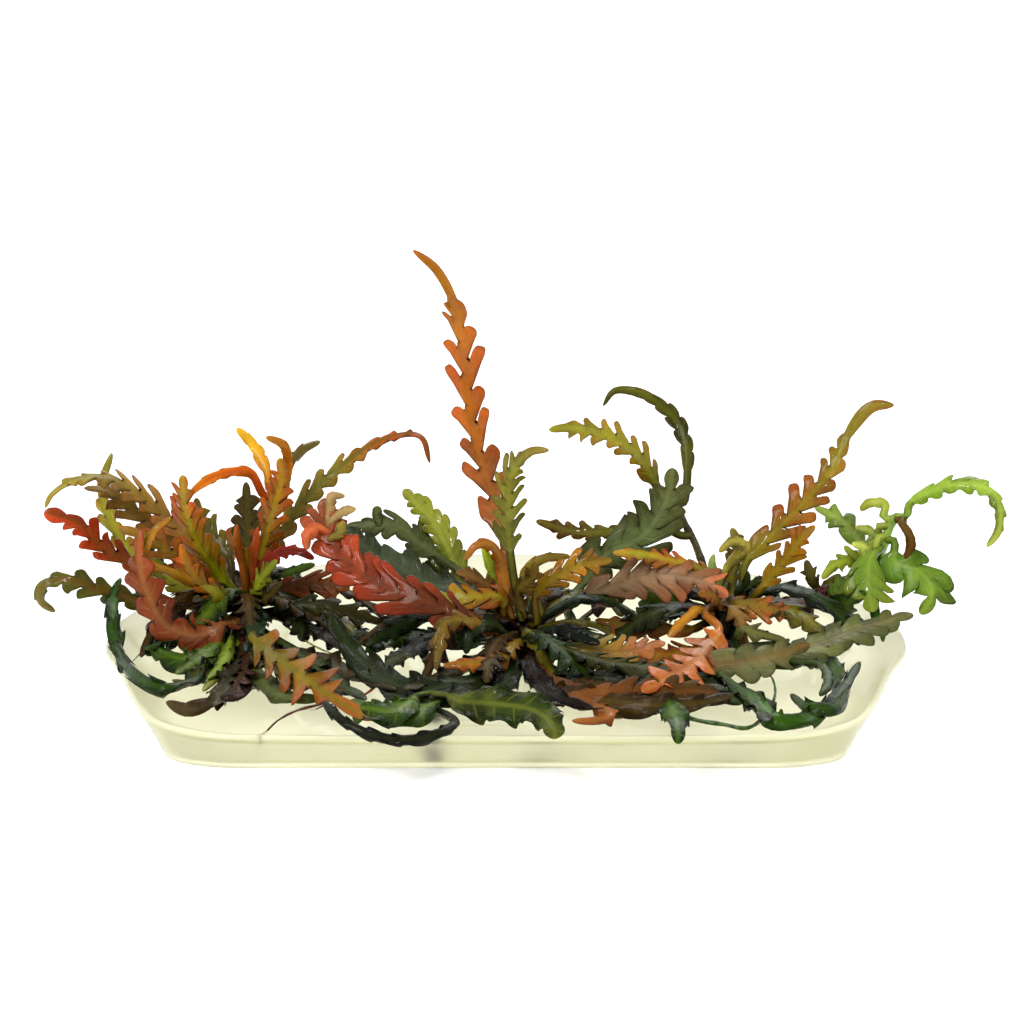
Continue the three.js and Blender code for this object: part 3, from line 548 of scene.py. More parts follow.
# The roots: thin brown or green threads that leave the stems, wander over the gel and dip into it.
# Two short ones hold up the node of the runner. Each has its colour, radius and path in mm.
ROOTS = {
    "root_red_left": ("5c2414", 0.2, [
        (-15, -28, 6), (-16.8, -31, 5.5), (-19.4, -34, 5.4), (-21.1, -36.6, 5), (-22.2, -37.9, 4),
        (-22.7, -37.7, 3.1),
    ]),
    "root_red_middle": ("8a2c1e", 0.15, [
        (-11, -24, 6.6), (-13, -27, 5.4), (-15, -29, 5), (-17, -29.6, 4.8), (-18.6, -29, 3.8),
    ]),
    "root_green_loop": ("3c5a1c", 0.24, [
        (14.4, -33, 5.6), (17.4, -36, 5.1), (20, -37, 4.9), (22, -37.6, 4.7), (24.8, -30, 5),
        (25.4, -22, 5.4), (24, -15, 6),
    ]),
    "root_thread": ("2a1a12", 0.13, [(-33, -9, 7), (-35, -11, 6), (-36.2, -12.4, 5)]),
    "root_pale_one": ("9a8c3c", 0.16, [
        (-22, -3, 7.4), (-19.6, -6, 6.6), (-17, -8, 6.2), (-14.6, -9, 5.6), (-13, -9.6, 4.2),
    ]),
    "root_pale_two": ("a89a4c", 0.14, [(-22, -4, 6.8), (-19, -8, 5.6), (-16, -11, 5), (-13.6, -12, 4)]),
    "node_root_one": ("4a1512", 0.3, [
        (30.3, -1.7, 9.1), (30.4, -1.9, 7), (30.8, -2.4, 4.9), (31, -2.6, 3),
    ]),
    "node_root_two": ("4a1512", 0.3, [
        (31.9, -1.6, 9.6), (32.7, -2.6, 7.2), (33.6, -3.6, 4.9), (34, -4.2, 3),
    ]),
}
ROOT_THINS = 0.66
ROOT_WAVER = 0.12
ROOT_WAVES = 2.3


def thread_radius(radius, length):
    """Radius along a root: it thins to a third of its start and wavers a little, the same all round."""

    def shape(along, turn):
        thinned = radius * (1 - ROOT_THINS * along / length)
        return thinned * (1 + ROOT_WAVER * np.sin(ROOT_WAVES * along)) * np.ones_like(turn)

    return shape


for name, (colour, radius, path) in ROOTS.items():
    length = smooth_path(path)[1][-1]
    piece = closed_skin(name, tube_rings(path, thread_radius(radius, length), around=10, step=0.3))
    piece.data.materials.append(bark_finish(f"{name}_skin", colour, grain=1500.0, coat=0.4))
    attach(piece, "root")


# The leaves: thin wet blades cut towards the midrib into rounded fingers that lean forward and lap
# over each other like slats, on round stalks that grow out of the stems. Each is one closed skin.
STALK_RADIUS = 0.42
STALK_GAP = 0.6
BLADE_HALF = 0.15
RIB_HALF_WIDTH = 0.34
RIB_RISE = 0.14
RIB_THINS = 0.6
MIDRIB_LEAST = 1.1 * STALK_RADIUS
TIP_CLOSING = 0.8
TIP_FLATTENING = 2
LEAST_ROOM = 1e-3
EDGE_ROUNDNESS = 1.2

# A point is on the underside where the sine of its turn round the ring is below this.
UNDER_BELOW = -0.01

# Where the stalk begins to widen into the blade, and over how much, in lobes.
BLADE_FROM = -0.15
BLADE_OVER = 0.5

# The swell of a blade: its width at the base, and where on a half turn of the sine it runs.
BASE_SPREAD = 0.42
SWELL_START = 0.1
SWELL_SPAN = 0.82

# A cut up to the first share of the half width scallops the edge, and from the second on makes
# fingers. In lobes: how far the left side is behind the right, over how many lobes that comes in
# at both ends, over how many the midrib widens, and how long a finger is when it turns fully.
SCALLOP_CUT = 0.25
FINGER_CUT = 0.6
SIDE_SHIFT = 0.5
SHIFT_ROOM = 1.2
MIDRIB_ROOM = 0.8
FULL_FINGER = 0.85
SHORTEST_FINGER = 0.05

# As shares of a finger's reach: where it has turned, narrowed and tilted fully. Its width goes
# from the first share to that plus the second, and at the base it leans by a share of its angle.
TURNED_AT = 0.5
NARROW_AT = 0.3
TILTED_AT = 0.4
FINGER_WIDTH = 0.75
FINGER_WIDENS = 0.45
LEAN_SHARE = 0.7

# The end lobe's half width by the blade's, for fingers and for scallops, its least in mm, and the
# share of its length at which it is widest.
FINGER_END = 0.6
SCALLOP_END = 1.05
END_LEAST = 0.4
END_WIDEST = 0.5
END_LAST_RING = 0.999

# How the blade leaves its plane: folded up from the midrib, curled down at its edges, waved where
# it is scalloped, and with fingers that flutter and ripple.
FOLD = 0.2
CURL = 0.16
WAVE = 0.28
FLUTTER = 0.1
RIPPLE = 0.08
RIPPLE_WAVES = 5
RIPPLE_SHIFT = 3

# Points round a ring, rings for a lobe and for the end lobe, and mm between rings on a stalk.
AROUND = 24
LOBE_STEPS = 14
END_STEPS = 16
STALK_STEP = 0.5
FEWEST_STALK_RINGS = 3

# By how much the fingers of a leaf differ: in reach as shares, of which scallops take the last
# share, in angle as degrees, and in bend.
REACH_VARIES = (-0.28, 0.18)
SCALLOPS_VARY = 0.35
ANGLE_VARIES = 6
ANGLE_RANGE = (18, 80)
BEND_VARIES = 0.12

# Wet colours are deeper and warmer than dry ones. The rib's colour spreads into the blade by an
# amount and a width, the edge's colour comes in by a power, and fingers differ in shade. Painted
# shade darkens each finger beside its notches, where the next finger laps over it, by a depth and
# a power. The underside is duller and darker. On the end lobe the edge's colour starts from a
# share of the way and comes in fully at the tip.
WET_DEPTH = 0.6
WET_GAIN = 1.5
WARMTH = np.array([1.1, 1.0, 0.42])
CORE_AMOUNT = 0.4
CORE_WIDTH = 0.45
EDGE_POWER = 1.6
SHADE_VARIES = 0.12
NOTCH_SHADE_DEPTH = 0.3
NOTCH_SHADE_POWER = 4
END_RAISED = 0.3
UNDER_GREY = 0.2
UNDER_SHADE = 0.75
DARKEST = 0.002

# The ways that a blade's face can look, towards +x, +y and +z.
TO_SIGHT = (0, -0.9, 0.45)
TO_FRONT = (0, -1, 0.25)
UP_FRONT = (0, -0.75, 0.65)
MOSTLY_UP = (0, -0.35, 0.95)
LEFT_FRONT = (-0.45, -0.85, 0.3)
RIGHT_FRONT = (0.45, -0.85, 0.3)
LEFT_UP = (-0.5, -0.4, 0.75)
RIGHT_UP = (0.5, -0.4, 0.75)

# What most leaves share: how deep the fingers are cut as a share of the half width, the stalk's
# share of the length, how much the blade narrows to its tip, how much of a lobe its finger fills,
# the finger's angle to the midrib, its tilt as a slat, the end lobe's length in lobes and its
# width, the ways that its face looks at the base and at the tip, and how strong its edge colour is.
LEAF_FORM = dict(
    cut=0.72, stalk=0.2, taper=0.2, fill=0.92, angle=33, slat=0.4, end=1, end_width=None,
    face=UP_FRONT, tip_face=None, edge_amount=0.6, seen=True,
)


def leaf(slot, colours, path, half, lobes, **form):
    """A leaf's row: its slot, its colours from base to tip and then at its edge and at its rib, its
    path, its greatest half width in mm, its lobes on each side, and where it differs in form.

    A path starts on a stem, by the stem's name, the share of its height and the side in degrees,
    or at a point. Points are places seen across, up and back, in mm, unless seen is false.
    """
    blade, edge, rib = colours.split(", ")
    return {**LEAF_FORM, **form, **dict(
        slot=slot, blade=blade.split(), edge=edge, rib=rib, path=path, half=half, lobes=lobes,
    )}


def sight(points):
    """Points seen across and up from the pad's front foot, at depths behind its centre, in mm."""
    across, up, back = np.asarray(points, float).T
    ray = SIGHT_DISTANCE * FORWARD + (up - SIGHT_UP)[:, None] * UPWARD
    ray = ray + (across - SIGHT_ACROSS)[:, None] * np.array([1, 0, 0])
    return EYE + ray * ((back - EYE[1]) / ray[:, 1])[:, None]


def leaf_path(path, seen):
    """The leaf's way in mm, and how much of it lies inside its stem and just outside the bark.

    A leaf that starts on a stem comes from the stem's core and leaves it level.
    """
    if not seen:
        return np.array(path, float), 0.0
    if not isinstance(path[0][0], str):
        return sight(path), 0.0
    stem, share, side = path[0]
    line, along = STEMS[stem]["line"], STEMS[stem]["along"]
    core = at_length(line, along, np.array([share * along[-1]]))[0]
    turn = np.radians(side)
    outward = np.array([np.cos(turn), np.sin(turn), 0])
    reach = STEMS[stem]["radius"] + STALK_GAP
    return np.concatenate([[core, core + reach * outward], sight(path[1:])]), reach


def smooth(value):
    """Goes from 0 to 1 as the value does, level at both ends."""
    value = np.clip(value, 0, 1)
    return value * value * (3 - 2 * value)


def spread(share, taper):
    """Half width along the blade as a share of its widest: a sine swell, narrowed towards the tip."""
    swell = np.sin(np.pi * (SWELL_START + SWELL_SPAN * share))
    return (BASE_SPREAD + (1 - BASE_SPREAD) * swell) * (1 - taper * share)


def leaf_rows(length, stem_part, lobes, stalk, end):
    """Each ring's place in lobes, negative on the stalk, the stalk's length and that of a lobe.

    Rings crowd together towards every half lobe, as the notches of one side lie between those
    of the other.
    """
    start = stem_part + max(stalk * (length - stem_part), STALK_STEP)
    cell = (length - start) / (lobes + end)
    stalk_at = np.linspace(0, start, max(int(start / STALK_STEP), FEWEST_STALK_RINGS), endpoint=False)
    halves = np.arange(lobes * LOBE_STEPS) / (LOBE_STEPS / 2)
    blade = (np.floor(halves) + (1 - np.cos(np.pi * (halves % 1))) / 2) / 2
    end_lobe = lobes + end * np.sin(np.pi / 2 * np.linspace(0, END_LAST_RING, END_STEPS))
    return np.concatenate([(stalk_at - start) / cell, blade, end_lobe]), start, cell


def end_outline(form, cells, cut_deep):
    """How far along the end lobe each ring lies, and the end lobe's half width there in mm.

    It swells from its last notch by a sine. Its tip closes as the root of 1 - t^2 for scallops
    and 1 - t^3 for fingers, t being the share of its length.
    """
    tip = np.clip((cells - form["lobes"]) / form["end"], 0, 1)
    blunt = form["end_width"] or FINGER_END * cut_deep + SCALLOP_END * (1 - cut_deep)
    base = form["half"] * spread(1, form["taper"])
    notch = np.maximum(MIDRIB_LEAST, base * (1 - form["cut"]))
    opened = np.sin(np.minimum(tip / END_WIDEST, 1) * np.pi / 2)
    width = notch + (max(END_LEAST, blunt * base) - notch) * opened
    return tip, width * np.sqrt(1 - tip ** (2 + cut_deep))


def blade_shape(form, cells, across, cell, draw):
    """How far each point of a blade lies ahead of its ring, out from the midrib and up, in mm.

    The place across runs from 0 at the midrib to 1 at the edge, negative on the left, where the
    lobes are up to half a lobe behind those on the right. P is the place across a lobe's finger,
    from -1 to 1, and Q how far along the finger the ring reaches: sqrt(1 - P^4) for a deep
    finger, 1 - P^2 for a shallow one. Up to the notch a ring runs straight out and leans forward.
    Beyond it the ring bends into the finger's own direction, while the finger narrows from the
    whole lobe to its own width.
    """
    half, lobes, cut = form["half"], form["lobes"], form["cut"]
    cells = cells[:, None]
    side = (across > 0).astype(int)
    place = np.clip(cells, 0, lobes)
    behind = SIDE_SHIFT * smooth(place / SHIFT_ROOM) * smooth((lobes - place) / SHIFT_ROOM)
    place = place - behind * (1 - side)
    index = np.clip(np.floor(place), 0, lobes - 1).astype(int)
    p = np.clip(2 * (place - index) - 1, -1, 1)
    cut_deep = smooth((cut - SCALLOP_CUT) / (FINGER_CUT - SCALLOP_CUT))

    def each_finger(values):
        return values[side, index]

    swell = half * spread(place / lobes, form["taper"])
    variety = SCALLOPS_VARY + (1 - SCALLOPS_VARY) * cut_deep
    varied = each_finger(variety * draw.uniform(*REACH_VARIES, (2, lobes)))
    angle = form["angle"] + ANGLE_VARIES * draw.normal(0, 1, (2, lobes))
    angle = each_finger(np.radians(np.clip(angle, *ANGLE_RANGE)))
    bend = each_finger(BEND_VARIES * draw.normal(0, 1, (2, lobes)))
    flutter = each_finger(draw.normal(0, 1, (2, lobes)))

    notch = np.maximum(MIDRIB_LEAST, swell * (1 - cut))
    notch = STALK_RADIUS + (notch - STALK_RADIUS) * smooth(place / MIDRIB_ROOM)
    finger = np.maximum(swell * (1 + varied) - notch, SHORTEST_FINGER) / np.sin(angle)
    deep = cut_deep * smooth(finger / cell / FULL_FINGER)
    q = deep * np.sqrt(np.maximum(1 - p**4, 0)) + (1 - deep) * (1 - p**2)
    way = np.abs(across) * (notch + q * finger)
    beyond = np.maximum(way - notch, 0)
    share = beyond / finger
    turned = deep * smooth(share / TURNED_AT)
    own_width = form["fill"] * np.sin(angle) * (FINGER_WIDTH + FINGER_WIDENS * share)
    wide = cell / 2 * (1 + (own_width - 1) * deep * smooth(share / NARROW_AT))
    ahead = p * (wide * (1 - turned + turned * np.sin(angle)) - cell / 2)
    ahead = ahead + beyond * np.cos(angle) + bend * beyond * share
    ahead = ahead + LEAN_SHARE * np.cos(angle) * np.minimum(way, notch)
    out = np.minimum(way, notch) + beyond * np.sin(angle) - p * wide * np.cos(angle) * turned

    up = form["slat"] * p * wide * smooth(share / TILTED_AT) + FLUTTER * flutter * beyond
    up = up + RIPPLE * np.sin(RIPPLE_WAVES * share + RIPPLE_SHIFT * flutter) * share * deep
    up = up + WAVE * (1 - deep) * np.sin(np.pi * place) * (2 * side - 1) * across**2 * swell

    on_stalk, on_end = cells < 0, cells >= lobes
    tip, end_half = end_outline(form, cells, cut_deep)
    end_out = np.abs(across) * end_half
    ahead = np.where(on_end, LEAN_SHARE * np.cos(angle) * end_out * (1 - tip), ahead)
    ahead = np.where(on_stalk, 0, ahead)
    out = np.where(on_end, end_out, out)
    out = np.where(on_stalk, STALK_RADIUS * np.abs(across), out)
    up = np.where(on_end, 0, up) + FOLD * out - CURL * out**2 / half
    end_raised = END_RAISED + (1 - END_RAISED) * tip * np.abs(across)
    marks = dict(
        raised=np.where(on_end, end_raised, way / (notch + finger)),
        # Painted shade beside each notch: strongest at a finger's sides, where the next finger laps over it.
        notch_shade=np.where(on_end, 0, deep * np.abs(p)) * np.ones_like(out),
        flutter=flutter,
        cells=np.where((cells > 0) & ~on_end, place, cells),
    )
    return ahead, out, up, marks


def leaf_rings(form, seed):
    """The rings of a leaf in mm and, for each of their points, its place on the leaf.

    Round a ring the turn t gives the place across as a power of its cosine, from edge to edge
    over the face and back under it, and its sine gives the thickness.
    """
    draw = np.random.default_rng(seed)
    points, stem_part = leaf_path(form["path"], form["seen"])
    line, along = smooth_path(points)
    length = along[-1]
    share = np.clip((along - stem_part) / (length - stem_part), 0, 1)[:, None]
    tangent = unit(np.gradient(line, axis=0))
    tip_face = form["tip_face"] or form["face"]
    normal = np.array(form["face"]) * (1 - share) + np.array(tip_face) * share
    normal = unit(normal - (normal * tangent).sum(-1, keepdims=True) * tangent)
    aside = np.cross(tangent, normal)

    lobes, end = form["lobes"], form["end"]
    cells, start, cell = leaf_rows(length, stem_part, lobes, form["stalk"], end)
    where = start + cell * cells
    turn = 2 * np.pi * np.arange(AROUND) / AROUND
    cosine, sine = np.cos(turn)[None, :], np.sin(turn)[None, :]
    across = np.sign(cosine) * np.abs(cosine) ** EDGE_ROUNDNESS * np.ones((len(cells), 1))
    ahead, out, up, marks = blade_shape(form, cells, across, cell, draw)
    room = np.maximum(length - where, LEAST_ROOM)[:, None]
    at = where[:, None] + np.where(ahead > 0, room * (1 - np.exp(-ahead / room)), ahead)

    blade = smooth((cells[:, None] - BLADE_FROM) / BLADE_OVER)
    thickness = BLADE_HALF * blade + STALK_RADIUS * (1 - blade)
    rib = RIB_RISE * blade * np.exp(-((out / RIB_HALF_WIDTH) ** 2))
    rib = rib * (1 - RIB_THINS * cells[:, None] / (lobes + end))
    closing = np.sqrt(np.clip((length - where) / TIP_CLOSING, END_CLOSES_TO, 1))[:, None]
    rise = (thickness + rib) * sine * closing + up * blade * np.clip(room / TIP_FLATTENING, 0, 1)

    centre = at_length(line, along, at.ravel()).reshape(*at.shape, 3)
    spine_side = unit(at_length(aside, along, at.ravel())).reshape(*at.shape, 3)
    spine_up = unit(at_length(normal, along, at.ravel())).reshape(*at.shape, 3)
    rings = centre + (np.sign(across) * out)[..., None] * spine_side + rise[..., None] * spine_up
    marks["out"] = out
    marks["raised"] = marks["raised"] * blade
    marks["share"] = np.clip((at - stem_part) / (length - stem_part), 0, 1)
    marks["under"] = np.broadcast_to(sine < UNDER_BELOW, out.shape)
    # How near each point lies to the blade's edge, where the shader darkens the colour with painted shade.
    marks["edge"] = np.abs(across) * blade
    return rings, marks


def wet(colour):
    """A colour as it looks wet: warmer, and darkened by a power of its own brightness."""
    colour = colour * WARMTH
    return colour * colour.mean(-1, keepdims=True) ** WET_DEPTH * WET_GAIN


def leaf_colours(form, marks):
    """Colour of each point: the row's colours in turn from base to tip, its rib colour along the
    middle, its edge colour out on the fingers, painted shade by each notch, a duller underside.
    """
    stops = np.stack([hex_colour(code) for code in form["blade"]])
    tint = at_length(stops, np.linspace(0, 1, len(stops)), marks["share"].ravel())
    raised = np.clip(marks["raised"].ravel(), 0, 1)
    on_blade = marks["cells"] > 0
    core = (CORE_AMOUNT * np.exp(-((raised / CORE_WIDTH) ** 2)) * on_blade.ravel())[:, None]
    tint = tint * (1 - core) + hex_colour(form["rib"]) * core
    edge = (raised**EDGE_POWER * form["edge_amount"])[:, None]
    tint = tint * (1 - edge) + hex_colour(form["edge"]) * edge
    # Fingers differ at random in shade, and painted shade darkens them beside their notches.
    shade = (1 + SHADE_VARIES * marks["flutter"]) * (1 - NOTCH_SHADE_DEPTH * marks["notch_shade"] ** NOTCH_SHADE_POWER * on_blade)
    tint = wet(np.clip(tint * shade.ravel()[:, None], 0, 1))
    under = marks["under"].ravel()[:, None]
    grey = tint.mean(-1, keepdims=True)
    tint = np.where(under, UNDER_SHADE * ((1 - UNDER_GREY) * tint + UNDER_GREY * grey), tint)
    return np.clip(tint, DARKEST, 1)


# The pattern on a blade. Each thing fades in or out over a range: the midrib by mm from the middle,
# a vein by its share of a lobe, side veins by their share of the gap between two, all of them by
# the place in lobes from the base, and veins also by the share of the lobe's reach.
RIB_FADES = (0.12, 0.36)
VEIN_FADES = (0.02, 0.09)
SIDE_VEIN_FADES = (0.03, 0.12)
SIDE_VEINS = 4.0
VEINS_FROM_BASE = (0.0, 0.2)
SIDE_VEINS_FROM_BASE = (0.0, 0.3)
VEINS_TO_TIP = (0.95, 0.5)
RIB_SHOWS = 0.5
VEIN_SHOWS = 0.4
SIDE_VEIN_SHOWS = 0.16

# Pale patches, a painted shade outline at the rim by the share of the way across, and a fine
# speckle of the shade.
BROAD_SCALE = 330.0
FINE_SCALE = 1500.0
PATCH_RANGE = (0.45, 0.7)
PATCH_SHOWS = 0.4
RIM_SHADE_RANGE = (0.86, 1.0)
RIM_SHADE = 0.5
SPECKLE = 0.35

# The relief of the blade, as shares of its depth, and its roughness.
VEIN_RELIEF = -0.5
BROAD_RELIEF = 1.1
FINE_RELIEF = 0.25
LEAF_ROUGHNESS = (0.24, 0.46)


def leaf_pattern_group():
    """Shader group for a blade: a pale midrib, one vein to each lobe, painted shade at the rim, and
    mottling.

    Place holds the place in lobes, the distance across in mm and the share of the lobe's reach.
    A vein is where the fraction of the place in lobes is near a half.
    """
    given_kinds = {"Tint": "Color", "Rib": "Color", "Place": "Vector", "Edge": "Float", "Mottle": "Float"}
    group, given = pattern_group("leaf_pattern", given_kinds, SKIN_OUTPUTS)

    def eased(value, low, high, to_low=0.0, to_high=1.0):
        return ranged(group, value, low, high, to_low, to_high, ease="SMOOTHSTEP")

    def maths(operation, *values):
        return add(group, "Math", dict(enumerate(values)), operation=operation).outputs[0]

    def from_half(value):
        return maths("ABSOLUTE", maths("SUBTRACT", maths("FRACT", value), 0.5))

    cells, out, raised = add(group, "SeparateXYZ", {0: given["Place"]}).outputs
    position = add(group, "TexCoord").outputs["Object"]
    fine = noise(group, position, FINE_SCALE, detail=3.0)
    broad = noise(group, position, BROAD_SCALE, detail=3.0)
    rib = eased(maths("ABSOLUTE", out), *RIB_FADES, 1.0, 0.0)
    on_blade = maths("MULTIPLY", eased(cells, *VEINS_FROM_BASE), eased(raised, *VEINS_TO_TIP))
    vein = maths("MULTIPLY", eased(from_half(cells), *VEIN_FADES, 1.0, 0.0), on_blade)
    side_vein = eased(from_half(maths("MULTIPLY", raised, SIDE_VEINS)), *SIDE_VEIN_FADES, 1.0, 0.0)
    side_vein = maths("MULTIPLY", side_vein, eased(cells, *SIDE_VEINS_FROM_BASE))
    veins = maths("MAXIMUM", maths("MULTIPLY", rib, RIB_SHOWS), maths("MULTIPLY", vein, VEIN_SHOWS))
    veins = maths("MAXIMUM", veins, maths("MULTIPLY", side_vein, SIDE_VEIN_SHOWS))
    patchy = maths("MULTIPLY", given["Mottle"], PATCH_SHOWS)
    patch = maths("MULTIPLY", eased(broad, *PATCH_RANGE), patchy)
    colour = mixed(group, maths("MAXIMUM", veins, patch), given["Tint"], given["Rib"])
    # Painted shade: the colour darkens towards the rim, drawing a dark outline round the blade.
    colour = scaled(group, colour, eased(given["Edge"], *RIM_SHADE_RANGE, 1.0, RIM_SHADE))
    mottling = maths("MULTIPLY", given["Mottle"], maths("SUBTRACT", broad, 0.5))
    speckle = maths("MULTIPLY", maths("SUBTRACT", fine, 0.5), SPECKLE)
    shade = maths("ADD", 1.0, maths("ADD", mottling, speckle))
    height = maths("MULTIPLY", veins, VEIN_RELIEF)
    height = maths("ADD", height, maths("MULTIPLY", broad, BROAD_RELIEF))
    height = maths("ADD", height, maths("MULTIPLY", fine, FINE_RELIEF))
    rough = eased(fine, *ROUGH_RANGE, *LEAF_ROUGHNESS)
    give_out(group, {"Colour": scaled(group, colour, shade), "Roughness": rough, "Height": height})
    return group


leaf_pattern = leaf_pattern_group()

# Each family of leaves has its own finish: how mottled it is, how wet, and how much light it lets
# through. Young orange and lime leaves glow, old dark ones are leathery.
LEAF_FINISHES = {
    "lime": dict(mottle=0.6, coat=0.35, glow=0.12),
    "olive": dict(mottle=0.8, coat=0.3, glow=0.08),
    "moss": dict(mottle=1.0, coat=0.14, glow=0.05),
    "slate": dict(mottle=0.7, coat=0.08, glow=0.05),
    "umber": dict(mottle=0.8, coat=0.1, glow=0.06),
    "copper": dict(mottle=0.8, coat=0.3, glow=0.1),
    "orange": dict(mottle=0.7, coat=0.4, glow=0.14),
    "red": dict(mottle=0.7, coat=0.28, glow=0.12),
}

# The pattern's sockets that are fed by an attribute of the leaf, as (attribute, output).
LEAF_ATTRIBUTES = {
    "Tint": ("tint", "Color"),
    "Rib": ("rib_tint", "Color"),
    "Place": ("place", "Vector"),
    "Edge": ("edge", "Fac"),
}


def leaf_finish(name, mottle, coat, glow):
    """Leaf skin: its own colours from the leaf's attributes, a wet coat, and light let through."""
    material, tree, output = new_material(f"{name}_leaf")
    given = {"Mottle": mottle}
    for socket, (attribute, kind) in LEAF_ATTRIBUTES.items():
        given[socket] = add(tree, "Attribute", attribute_name=attribute).outputs[kind]
    pattern = add(tree, "Group", given, node_tree=leaf_pattern)
    bump = add(tree, "Bump", {"Strength": 0.6, "Distance": 0.00035, "Height": pattern.outputs["Height"]})
    leaf_look = {
        "Base Color": pattern.outputs["Colour"],
        "Roughness": pattern.outputs["Roughness"],
        "Normal": bump.outputs[0],
        "IOR": 1.4,
        "Specular IOR Level": 0.1,
        "Coat Weight": coat,
        "Coat Roughness": 0.08,
        "Coat IOR": 1.4,
        "Subsurface Weight": glow,
        "Subsurface Radius": (1.0, 0.7, 0.3),
        "Subsurface Scale": 0.0007,
    }
    coat_with(tree, output, leaf_look)
    return material


leaf_materials = {name: leaf_finish(name, **values) for name, values in LEAF_FINISHES.items()}


def keep_on_points(piece, name, kind, field, values):
    """Stores an attribute with a value for each point of a piece."""
    piece.data.attributes.new(name, kind, "POINT").data.foreach_set(field, np.ravel(values))


def grow(leaves, first_seed):
    """Makes the leaves of one crown, each in place of the plain leaf of its name, if there is one."""
    for number, (name, form) in enumerate(leaves.items()):
        rings, marks = leaf_rings(form, first_seed + number)
        piece = closed_skin(f"blade_{name}", rings)
        tint = leaf_colours(form, marks)
        place = np.stack([marks[key].ravel() for key in ("cells", "out", "raised")], -1)

        # The middle points of the two ends come last in the mesh.
        tint = np.concatenate([tint, tint[[0, -1]]])
        place = np.concatenate([place, place[[0, -1]]])
        edge = np.concatenate([marks["edge"].ravel(), [0, 1]])
        opaque = np.ones((len(tint), 1))
        rib = np.tile(wet(hex_colour(form["rib"])), (len(tint), 1))
        keep_on_points(piece, "tint", "FLOAT_COLOR", "color", np.concatenate([tint, opaque], -1))
        keep_on_points(piece, "rib_tint", "FLOAT_COLOR", "color", np.concatenate([rib, opaque], -1))
        keep_on_points(piece, "place", "FLOAT_VECTOR", "vector", place)
        keep_on_points(piece, "edge", "FLOAT", "value", edge)
        piece.data.materials.append(leaf_materials[form["slot"]])
        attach(piece, "root")
        if f"leaf_{name}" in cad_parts:
            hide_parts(f"leaf_{name}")


# The old leaves that each crown sheds over the gel, all round it: dark, broad and shiny. They turn
# by the golden angle, rise a little, bend aside and come down on the gel.
GOLDEN_ANGLE = 2.4
DRAPED_POINTS = 6
DRAPED_KINDS = [
    ("moss", "1c2010 26380f 3c5c18 4c7420 2c4414 1c2c10, 141c0c, 7a9c3c"),
    ("umber", "241410 40281c 5c4028 503828 3c2c24, 301c14, 7c5c38"),
    ("slate", "161c14 262e1c 38442c 404e30 2e3824, 1c2016, 5c6c44"),
    ("olive", "2c2410 4c4a18 6c6a24 7c7428 5c5c24, 5a3c18, 9c9c44"),
    ("moss", "14180e 1e2c14 2a4418 32501c 1e3012, 0e140a, 4c7424"),
    ("umber", "1c1410 34241a 54402a 4c3a28 34281c, 241410, 7c6440"),
]
DRAPED_BEND = 0.5
DRAPED_SINK = (0.7, 2.2)
DRAPED_RISE = (1, 4)
DRAPED_HALF = (1.3, 2.4)
DRAPED_LOBES = (4, 8)
DRAPED_CUT = (0.35, 0.7)
DRAPED_FILL = (0.85, 1.2)
DRAPED_STALK = 0.15
DRAPED_FACE = (0, -0.2, 1)


def draped(crown, centre, count, reach, seed, bare=()):
    """Rows of the draped leaves of a crown, spread round its centre in mm, but for the bare places.

    Along its share s of the way a leaf runs outward by s, aside by s squared, up by 4 s (1 - s)
    and down to the gel by s squared.
    """
    draw = np.random.default_rng(seed)
    centre = np.array(centre)
    share = np.linspace(0, 1, DRAPED_POINTS)[:, None]
    rows = {}
    for k in range(count):
        turn = k * GOLDEN_ANGLE
        outward = np.array([np.cos(turn), np.sin(turn), 0])
        aside = np.array([-np.sin(turn), np.cos(turn), 0])
        length = draw.uniform(*reach)
        bent = draw.uniform(-DRAPED_BEND, DRAPED_BEND)
        points = centre + length * (share * outward + bent * share**2 * aside)
        fall = centre[2] - GEL_HEIGHT - draw.uniform(*DRAPED_SINK)
        rise = draw.uniform(*DRAPED_RISE)
        points[:, 2:] += rise * 4 * share * (1 - share) - fall * share**2
        slot, colours = DRAPED_KINDS[draw.integers(len(DRAPED_KINDS))]
        row = leaf(
            slot, colours, points, half=draw.uniform(*DRAPED_HALF), lobes=int(draw.integers(*DRAPED_LOBES)),
            cut=draw.uniform(*DRAPED_CUT), stalk=DRAPED_STALK, fill=draw.uniform(*DRAPED_FILL),
            face=DRAPED_FACE, seen=False,
        )
        if k + 1 not in bare:
            rows[f"{crown}_draped_{k + 1}"] = row
    return rows


# Each crown's middle in mm, how many leaves are spread round it, how far they reach in mm, and the
# ones that are left out because other leaves fill their places. Then the seed of their blades.
DRAPED_CROWNS = [
    (dict(crown="left", centre=(-26, 0, 7.5), count=16, reach=(9, 16), seed=11), 600),
    (dict(crown="centre", centre=(2, -12.5, 7.5), count=18, reach=(9, 17), seed=12, bare=(6, 11)), 630),
    (dict(crown="right", centre=(21.6, -6, 7.5), count=14, reach=(8, 15), seed=13, bare=(3, 8, 11)), 660),
]
for spread_out, first_seed in DRAPED_CROWNS:
    grow(draped(**spread_out), first_seed)


